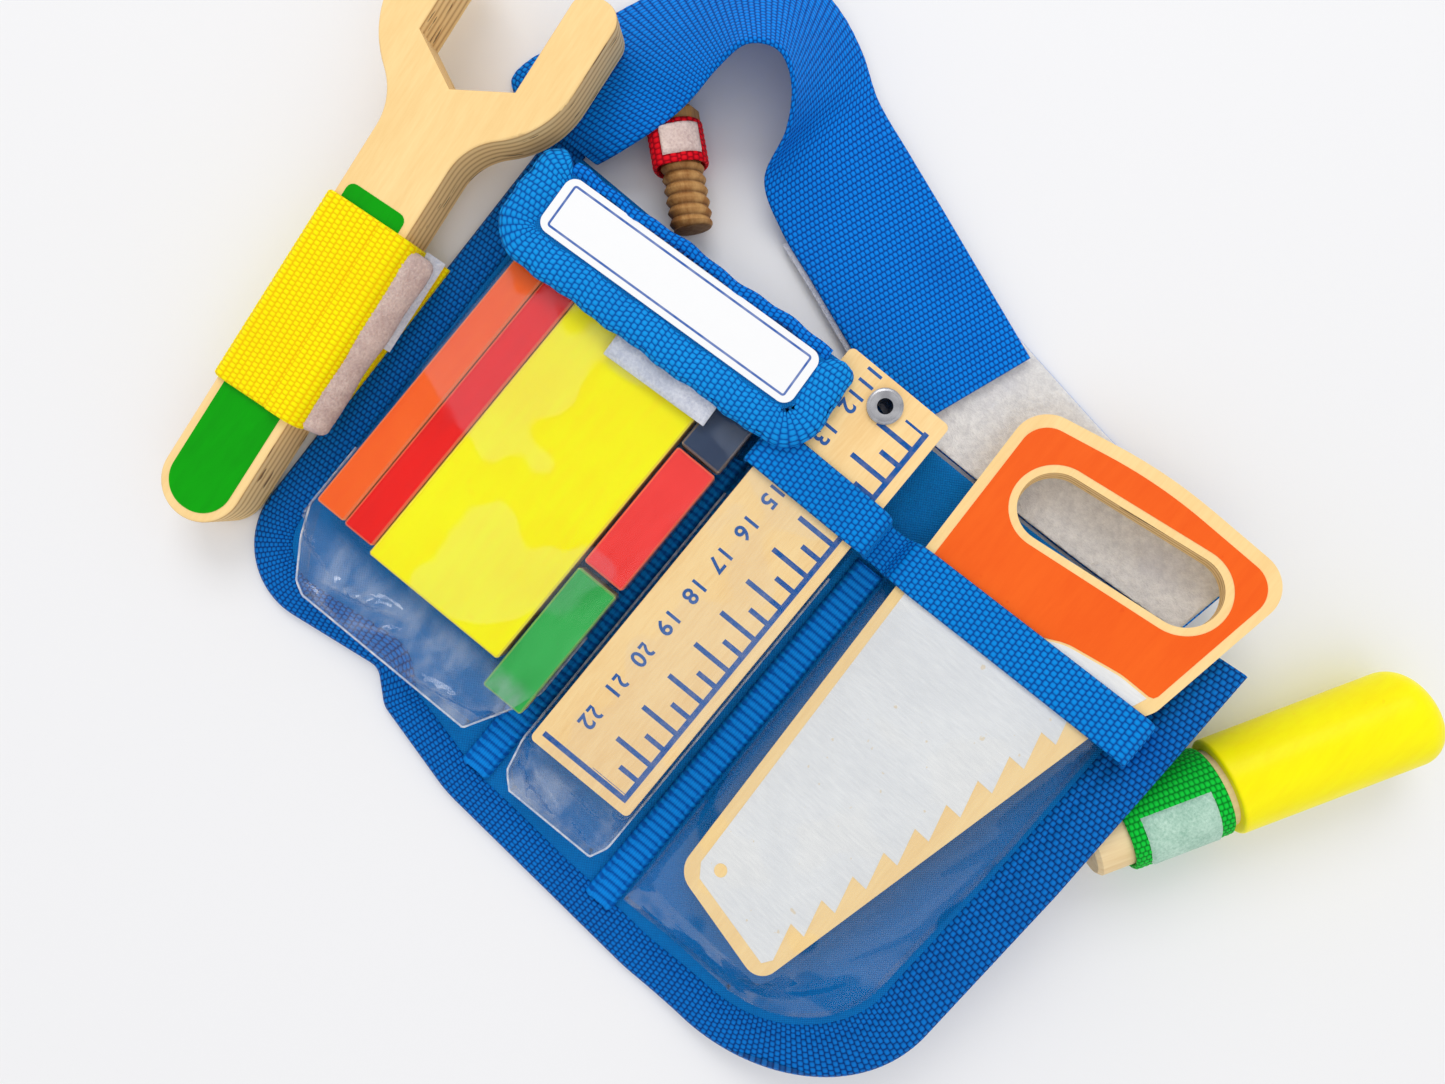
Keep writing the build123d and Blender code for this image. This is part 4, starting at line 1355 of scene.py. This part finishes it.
driver_patch = soft_plate("screwdriver_patch", 18.0, 15.0, 0.55, on_driver_patch, 0.6, 0.03)
dressed(driver_patch, "belt", "hook_tape", HOOK_MINT, "screwdriver_loop_patch")

# %% [markdown]
# The bolt is turned and threaded in brown wood. The thread is one helix: each ring of the lathe
# shape is shifted along the bolt by the share of a turn, so the ridge winds round it.

# %% The bolt
BOLT_R, BOLT_PITCH, BOLT_L = 5.5, 2.8, 25.5
bolt_place = axis_frame((-55.5, 55.6), (-0.758, 0.652), 7.3)


def on_bolt(u, v):
    angle, far = u * 2 * pi, v * BOLT_L
    turn = (far / BOLT_PITCH + u) % 1.0
    ridge = 1.0 - np.abs(2.0 * turn - 1.0)
    ridge = ridge ** 0.8
    ends = np.clip(far / 1.2, 0, 1) * np.clip((BOLT_L - far) / 1.2, 0, 1)
    radius = BOLT_R - 0.95 + (0.95 * ridge) * (0.35 + 0.65 * ends)
    radius = np.where(v < 0.0005, BOLT_R - 1.6, radius)
    return around_rod(bolt_place, radius, angle, far), (angle * 5, far)


def bolt_finish(tree):
    place = into_frame(tree, coords(tree), in_millimetres(bolt_place))
    x, y, _ = xyz(tree, place)
    grain = noise(tree, stretched(tree, place, (30.0, 30.0, 3.0)), 22.0, 5.0, 0.65)
    cloud = noise(tree, place, 150.0, 3.0)
    share = (grain * 0.7 + cloud * 0.5 - 0.1).between(0.25, 0.75)
    wood = mix(tree, share, rgb(206, 160, 100), rgb(150, 98, 48))
    out = (x * x + y * y).power(0.5)
    # the thread's grooves, inside 4.5 mm of the axis, are darkened as painted shade
    groove = 1.0 - out.between(4.5 * MM, 5.2 * MM)
    # one flank of the bolt, past y of −2 mm, is darkened in patches
    darker_flank = (y * -1.0).between(2.0 * MM, 5.5 * MM) * cloud.between(0.3, 0.6)
    dark = (groove * 0.65).most(darker_flank * 0.8)
    return surface(tree, mix(tree, dark, wood, rgb(70, 38, 18)), 0.5 + 0.2 * grain,
                   grain + cloud * 0.3, 0.0002, 0.5)


bolt = moved_grid("bolt_thread", 48, 182, on_bolt)
close_up(bolt, 0.000003)
smooth_shade(bolt, 60)
BROWN = finish("brown_wood", bolt_finish, Specular_IOR_Level=0.2)
dressed(bolt, "bolt_body", "brown_wood", BROWN, "bolt")
head = [(0.0, 25.2), (6.1, 25.2), (6.5, 25.7), (6.5, 29.0), (6.1, 29.5), (0.0, 29.5)]
bolt_head = turned_shape("bolt_head", head, bolt_place, 8)
dressed(bolt_head, "bolt_body", "brown_wood", BROWN)


# %% The bolt's loop
def loose_ring(angle):
    """Closer on the left, and standing off on the right where the fold is."""
    return (5.75 + 1.7 * np.exp(-((angle - 1.75 * pi) / 0.55) ** 2)
            + 0.5 * np.exp(-((angle - 0.3) / 0.8) ** 2))


bolt_loop = ring_strip("bolt_loop_webbing", bolt_place, loose_ring, 7.0, 10.0, 1.0, 20.6,
                       1.6, 1.4, 0.25)
dressed(bolt_loop, "belt", "red_webbing", RED_WEB, "bolt_loop")


def on_bolt_patch(along, across, high):
    angle = across / 7.2 + 0.15
    radius = loose_ring(angle % (2 * pi)) + 1.15 + high
    return around_rod(bolt_place, radius, angle, 17.2 + along)


bolt_patch = soft_plate("bolt_patch", 7.4, 10.0, 0.55, on_bolt_patch, 0.45, 0.03)
dressed(bolt_patch, "belt", "hook_tape", HOOK_PINK, "bolt_loop_patch")


# %% The hidden patches inside the flap, and the pale shaft
def flap_patch_place(level, lift_by=0.0):
    matrix = turned((-37.0, 25.5, level), FLAP_TURN)
    return lambda along, across, high: to_world(matrix, along - 15.0, across, high + lift_by)


hook_patch = soft_plate("flap_hook_pad", 30.0, 15.4, 0.5, flap_patch_place(15.5), 0.8, 0.03)
dressed(hook_patch, "flap", "hook_tape", HOOK_CLEAR, "flap_hook_patch")
loop_patch = soft_plate("pocket_felt", 30.0, 15.4, 0.55, flap_patch_place(14.75), 0.8, 0.04)
dressed(loop_patch, "belt", "loop_tape", FUZZ, "pocket_loop_patch")


def shaft_finish(tree):
    place = into_frame(tree, coords(tree), in_millimetres(driver_place))
    grain = noise(tree, stretched(tree, place, (30.0, 30.0, 2.0)), 25.0, 5.0, 0.6)
    cloud = noise(tree, place, 60.0, 2.0)
    share = (grain * 0.7 + cloud * 0.4 - 0.05).between(0.25, 0.75)
    return surface(tree, mix(tree, share * 0.7, rgb(248, 224, 176), rgb(222, 184, 128)),
                   0.45 + 0.2 * grain, grain, 0.00015, 0.5)


refinish("screwdriver_shaft", finish("pale_wood", shaft_finish, Specular_IOR_Level=0.2))

# %% [markdown]
# ## The clear pockets
# The three pockets are clear vinyl film, sewn down on three sides and open at the mouth. Film
# under light tension takes the lowest shape that still clears what is inside, so each pocket is
# relaxed like a soap film over the tops of its tools: every point moves to the mean of its
# neighbours, and is then pushed back up wherever a tool is higher. Creases are added after.

# %% Relaxing a film
FILM_THICK, FILM_GAP = 0.22, 0.3      # the gap is between the film and a tool
FILM_BASE = 2.2                       # where the seam lies on the panel
SKIRT, SKIRT_BASE = 0.8, 2.05         # the strip turned in under the seam


def smooth_noise(shape, cell, seed):
    """Even, soft bumps between 0 and 1, the same on each run."""
    draw = np.random.default_rng(seed)
    coarse = draw.random((int(shape[0] / cell) + 3, int(shape[1] / cell) + 3))
    row, column = np.meshgrid(np.arange(shape[0]) / cell, np.arange(shape[1]) / cell, indexing="ij")
    low_row, low_column = row.astype(int), column.astype(int)
    r, c = row - low_row, column - low_column
    r, c = r * r * (3 - 2 * r), c * c * (3 - 2 * c)
    before, after = [(1 - c) * coarse[edge, low_column] + c * coarse[edge, low_column + 1]
                     for edge in (low_row, low_row + 1)]
    return (1 - r) * before + r * after


def relaxed(start, floor_level, fixed, rounds=900):
    """Let the heights settle above floor_level; fixed points stay, and row 0 is a free edge."""
    high = start.copy()
    for _ in range(rounds):
        wide = np.pad(high, 1, mode="edge")
        mean = (wide[:-2, 1:-1] + wide[2:, 1:-1] + wide[1:-1, :-2] + wide[1:-1, 2:]) / 4
        high = np.where(fixed, high, np.maximum(mean, floor_level))
    return high


def near_segment(x, y, start, end):
    """How far each point lies from a segment, and how far along it, from 0 to 1."""
    a, b = np.array(start, float), np.array(end, float)
    run = b - a
    share = np.clip(((x - a[0]) * run[0] + (y - a[1]) * run[1]) / (run @ run), 0, 1)
    return np.hypot(x - a[0] - share * run[0], y - a[1] - share * run[1]), share


def pocket(name, left, right, mouth, low, tools, rim, creases, cell=0.8, seed=1, ripple=0.25):
    """A film over tools, from left(y) to right(y). The height of its crease is rim."""
    rows, columns = round((mouth - low) / cell), round((right(mouth) - left(mouth)) / cell)
    y = np.linspace(mouth, low, rows + 1)[:, None] * np.ones((1, columns + 1))
    share = np.linspace(0, 1, columns + 1)[None, :]
    x = left(y) * (1 - share) + right(y) * share
    base = lift(x, FILM_BASE)
    fixed = np.zeros_like(x, bool)
    fixed[:, 0] = fixed[:, -1] = fixed[-1, :] = True
    floor_level = np.maximum(base, tools(x, y) + FILM_GAP)
    start = np.where(fixed, base + rim, floor_level + 4.0)
    high = relaxed(start, np.where(fixed, -1.0, floor_level), fixed)
    column, row = np.arange(columns + 1)[None, :], np.arange(rows + 1)[:, None]
    from_seam = np.minimum(np.minimum(column, columns - column), rows - row)
    inner = np.minimum(1.0, from_seam / 4.0)
    high = high + inner * ripple * smooth_noise(x.shape, 9, seed)
    high = high + inner * ripple * 0.5 * smooth_noise(x.shape, 4, seed + 1)
    for start_at, end_at, width, height in creases:
        away, along = near_segment(x, y, start_at, end_at)
        swell = np.exp(-(away / width) ** 2) * np.sin(pi * (0.08 + 0.84 * along))
        high = high + inner * height * swell
    high = np.maximum(high, np.where(fixed, base, floor_level))
    x = np.column_stack([x[:, :1] + SKIRT, x, x[:, -1:] - SKIRT])
    y = np.column_stack([y[:, :1], y, y[:, -1:]])
    high = np.column_stack([lift(x[:, 0], SKIRT_BASE), high, lift(x[:, -1], SKIRT_BASE)])
    x, y = np.vstack([x, x[-1:]]), np.vstack([y, y[-1:] + SKIRT])
    high = np.vstack([high, lift(x[-1:], SKIRT_BASE)])

    def put(u, v):
        row = np.rint((1 - v) * (x.shape[0] - 1)).astype(int)
        column = np.rint(u * (x.shape[1] - 1)).astype(int)
        return (x[row, column], y[row, column], high[row, column]), (x[row, column], y[row, column])

    film = moved_grid(name, x.shape[1] - 1, x.shape[0] - 1, put)
    thickened(film, FILM_THICK, 1.0)
    return film


# %% The film's finish
def film_material(name, folded, deep):
    """Clear film: see-through where it touches a tool, with a few whitish patches of painted
    reflection, and milky below a line where it stands off in folds, partly haze and partly painted
    reflection.
    """
    material = bpy.data.materials.new(name)
    material.use_nodes = True
    tree = material.node_tree
    milk = tree.nodes["Principled BSDF"]
    milk.inputs["Base Color"].default_value = rgb(214, 226, 246)
    milk.inputs["Roughness"].default_value = 0.3
    place = coords(tree)
    y = xyz(tree, place)[1]
    wide = noise(tree, place, 34.0, 2.0, 0.4)
    streak = noise(tree, stretched(tree, place, (1.0, 0.45, 1.0)), 90.0, 3.0, 0.6)
    below = (deep * MM - y).between(0.0, 0.006)
    # whitish patches above the low zone: a painted reflection of the light on the film
    glare_patches = (wide.between(0.50, 0.53) * 0.032) * (1.0 - below)
    # below the deep line the film is made milky in streaks: partly the film's haze where it stands
    # off, partly a painted reflection in its creases
    folds = below * (streak.between(0.42, 0.78) * 0.85 + 0.15) * folded
    clear = tree.nodes.new("ShaderNodeBsdfTransparent")
    clear.inputs["Color"].default_value = (0.985, 0.99, 0.995, 1.0)
    cloudy = tree.nodes.new("ShaderNodeMixShader")
    tree.links.new((glare_patches + folds).socket, cloudy.inputs["Fac"])
    tree.links.new(clear.outputs[0], cloudy.inputs[1])
    tree.links.new(milk.outputs[0], cloudy.inputs[2])
    gloss = tree.nodes.new("ShaderNodeBsdfGlossy")
    gloss.inputs["Roughness"].default_value = 0.07
    dent = noise(tree, place, 160.0, 3.0, 0.5)
    tree.links.new(bump(tree, dent, 0.0005, 0.4).socket, gloss.inputs["Normal"])
    facing = node_of(tree, "ShaderNodeLayerWeight", None, {"Blend": 0.5})[1]
    shiny = tree.nodes.new("ShaderNodeMixShader")
    shine = facing.power(4.0) * 0.5 + 0.010 + below * streak.between(0.4, 0.7) * 0.06
    tree.links.new(shine.least(0.9).socket, shiny.inputs["Fac"])
    tree.links.new(cloudy.outputs[0], shiny.inputs[1])
    tree.links.new(gloss.outputs[0], shiny.inputs[2])
    tree.links.new(shiny.outputs[0], tree.nodes["Material Output"].inputs["Surface"])
    return material


# %% The block pocket
BLOCK_TOP = 13.3
BLOCKS = [(-83.5, -75.0, -55.3, 36.5), (-74.6, -65.7, -55.6, 34.0), (-65.3, -24.4, -57.4, 32.0),
          (-23.3, -11.4, 12.2, 32.0), (-23.3, -11.4, -25.2, 11.2), (-23.3, -11.4, -64.4, -27.0)]


def block_tops(x, y):
    level = np.zeros_like(x)
    for x_low, x_high, y_low, y_high in BLOCKS:
        slack = 5.6 if y_low < -50 and x_high < -20 else 3.4
        inside = (x > x_low - 0.5) & (x < x_high + 0.5) & (y > y_low - slack) & (y < y_high + 0.5)
        level = np.where(inside, BLOCK_TOP, level)
    return level


def interpolated(*stops):
    """A function of y through (y, x) stops, given from the lowest y up."""
    ys, xs = zip(*stops)
    return lambda y: np.interp(y, ys, xs)


block_creases = [((-71, -70), (-49, -63.5), 1.5, 3.4), ((-60, -73.5), (-44, -66), 1.1, 2.2),
                 ((-84, -62), (-68, -67.5), 1.1, 2.4), ((-42, -75), (-20, -70), 1.3, 2.0),
                 ((-76, -74), (-56, -75.8), 1.0, 1.8), ((-36, -65), (-26, -68), 1.2, 1.2),
                 ((-64, -63.4), (-26, -64.0), 0.9, 0.7), ((-78, 20), (-70, 2), 1.0, 0.35),
                 ((-72, -8), (-66, -30), 1.0, 0.4), ((-60, -10), (-52, -30), 1.6, 0.25)]
block_sides = [interpolated((-77.2, -72.6), (-75.2, -76.3), (-66.0, -82.4), (-58.2, -85.8),
                            (36.0, -86.2)),
               interpolated((-77.2, -20.6), (-64.0, -13.0), (-58.0, -10.9), (36.0, -10.8))]
block_film = pocket("block_pocket_film", *block_sides, 36.0, -77.2, block_tops, 5.5,
                    block_creases, seed=11)
dressed(block_film, "belt", "vinyl", film_material("clear_film", 0.20, -56.5), "block_pocket")


# %% The ruler's sleeve
def ruler_top(x, y):
    inside = (x > -6.4) & (x < 25.4) & (y > -67.4)
    return np.where(inside, ruler_level(y), 0.0)


sleeve_creases = [((-5, -74), (12, -79), 1.1, 2.4), ((4, -69.5), (24, -72), 1.0, 1.3),
                  ((-4, -70), (4, -81), 1.0, 1.9), ((14, -76), (25, -80), 1.1, 1.8),
                  ((20, -40), (14, 5), 1.2, 0.3), ((2, -52), (-2, -20), 1.0, 0.3)]
sleeve_sides = [interpolated((-82.6, -1.6), (-79.0, -5.4), (-70.0, -7.4), (18.8, -7.4)),
                interpolated((-82.6, 24.6), (-78.0, 26.8), (18.8, 26.8))]
sleeve_film = pocket("ruler_sleeve_film", *sleeve_sides, 18.8, -82.6, ruler_top, 3.5,
                     sleeve_creases, 0.7, seed=23)
SLEEVE_FILM = film_material("clear_film_sleeve", 0.20, -67.5)
dressed(sleeve_film, "belt", "vinyl", SLEEVE_FILM, "ruler_sleeve")


# %% The saw pocket
def saw_top(x, y):
    reach = np.interp(y, [-77.0, -70.0, 19.5], [74.0, 77.0, 97.3])
    inside = (x > 40.0) & (x < reach) & (y > -77.0)
    return np.where(inside, saw_underside(x) + SAW_T * hypot(1.0, SAW_SLOPE), 0.0)


def saw_side(y):
    straight = np.interp(y, [-100.6, -14.0, 93.5], [96.2, 100.8, 102.8])
    into = np.clip((-58.8 - y) / 27.6, 0, 1)
    return straight - 27.6 * (1 - np.sqrt(np.clip(1 - into ** 2, 0, 1))) * 0.98


saw_creases = [((84, -62), (97, -38), 1.5, 0.8), ((80, -78), (92, -60), 1.3, 0.7),
               ((93, -48), (98, -20), 1.2, 0.7), ((58, -80), (78, -84), 1.2, 0.8),
               ((88, -30), (96, -10), 1.6, 0.6), ((42, -83), (60, -86), 1.0, 0.6),
               ((60, -30), (70, 5), 1.4, 0.4), ((48, -20), (54, 10), 1.2, 0.35),
               ((64, -60), (72, -40), 1.3, 0.35)]
saw_film = pocket("saw_pocket_film", lambda y: 38.6 + 0.0 * y, saw_side, 18.8, -86.2, saw_top,
                  0.6, saw_creases, 0.8, seed=37, ripple=0.3)
dressed(saw_film, "belt", "vinyl", film_material("clear_film_saw", 0.035, -76.0), "saw_pocket")

# %% [markdown]
# The film is welded along its lower edge, and the weld shows as a fine bright line. It is a thin
# tube of the same clear stuff, laid along the edge of the pocket.

# %% The welded edges
def tube(name, points, radius, sides=8):
    """A round tube through points in mm, closed at both ends."""
    reached = measured(points)

    def put(u, v):
        where = u * reached[-1]
        here, run = heading(points, reached, where, 0.6)
        side = np.column_stack([-run[:, 1], run[:, 0], np.zeros(len(run))])
        side /= np.linalg.norm(side, axis=1)[:, None]
        up = np.cross(run, side)
        angle = v * 2 * pi
        spot = here + radius * (side * np.cos(angle)[:, None] + up * np.sin(angle)[:, None])
        return tuple(spot.T), (where, v * 6 * radius)

    piece = moved_grid(name, max(8, round(reached[-1] / 0.8)), sides, put)
    close_up(piece, 0.000003)
    smooth_shade(piece, 70)
    return piece


def weld_finish(tree):
    speck = noise(tree, coords(tree), 500.0, 3.0)
    colour = mix(tree, speck.between(0.35, 0.7), rgb(200, 212, 236), rgb(252, 252, 255))
    return {"Base Color": colour, "Roughness": 0.15 + 0.1 * speck}


WELD = finish("film_weld", weld_finish, Alpha=0.62)


def weld(name, left, right, low, rim, top):
    """The line down the left side, along the bottom and up the right side of a pocket."""
    down = np.linspace(top, low, 70)
    across = np.linspace(left(low), right(low), 50)[1:-1]
    x = np.concatenate([left(down), across, right(down[::-1])])
    y = np.concatenate([down, np.full_like(across, low + 0.1), down[::-1]])
    nudge = np.concatenate([np.full(70, 0.1), np.zeros(48), np.full(70, -0.1)])
    line = tube(name, np.column_stack([x + nudge, y, lift(x, FILM_BASE) + rim + 0.2]), 0.28)
    return dressed(line, "belt", "vinyl", WELD)


weld("block_pocket_weld", *block_sides, -77.2, 5.5, -40.0)
weld("ruler_sleeve_weld", *sleeve_sides, -82.6, 3.5, 10.0)
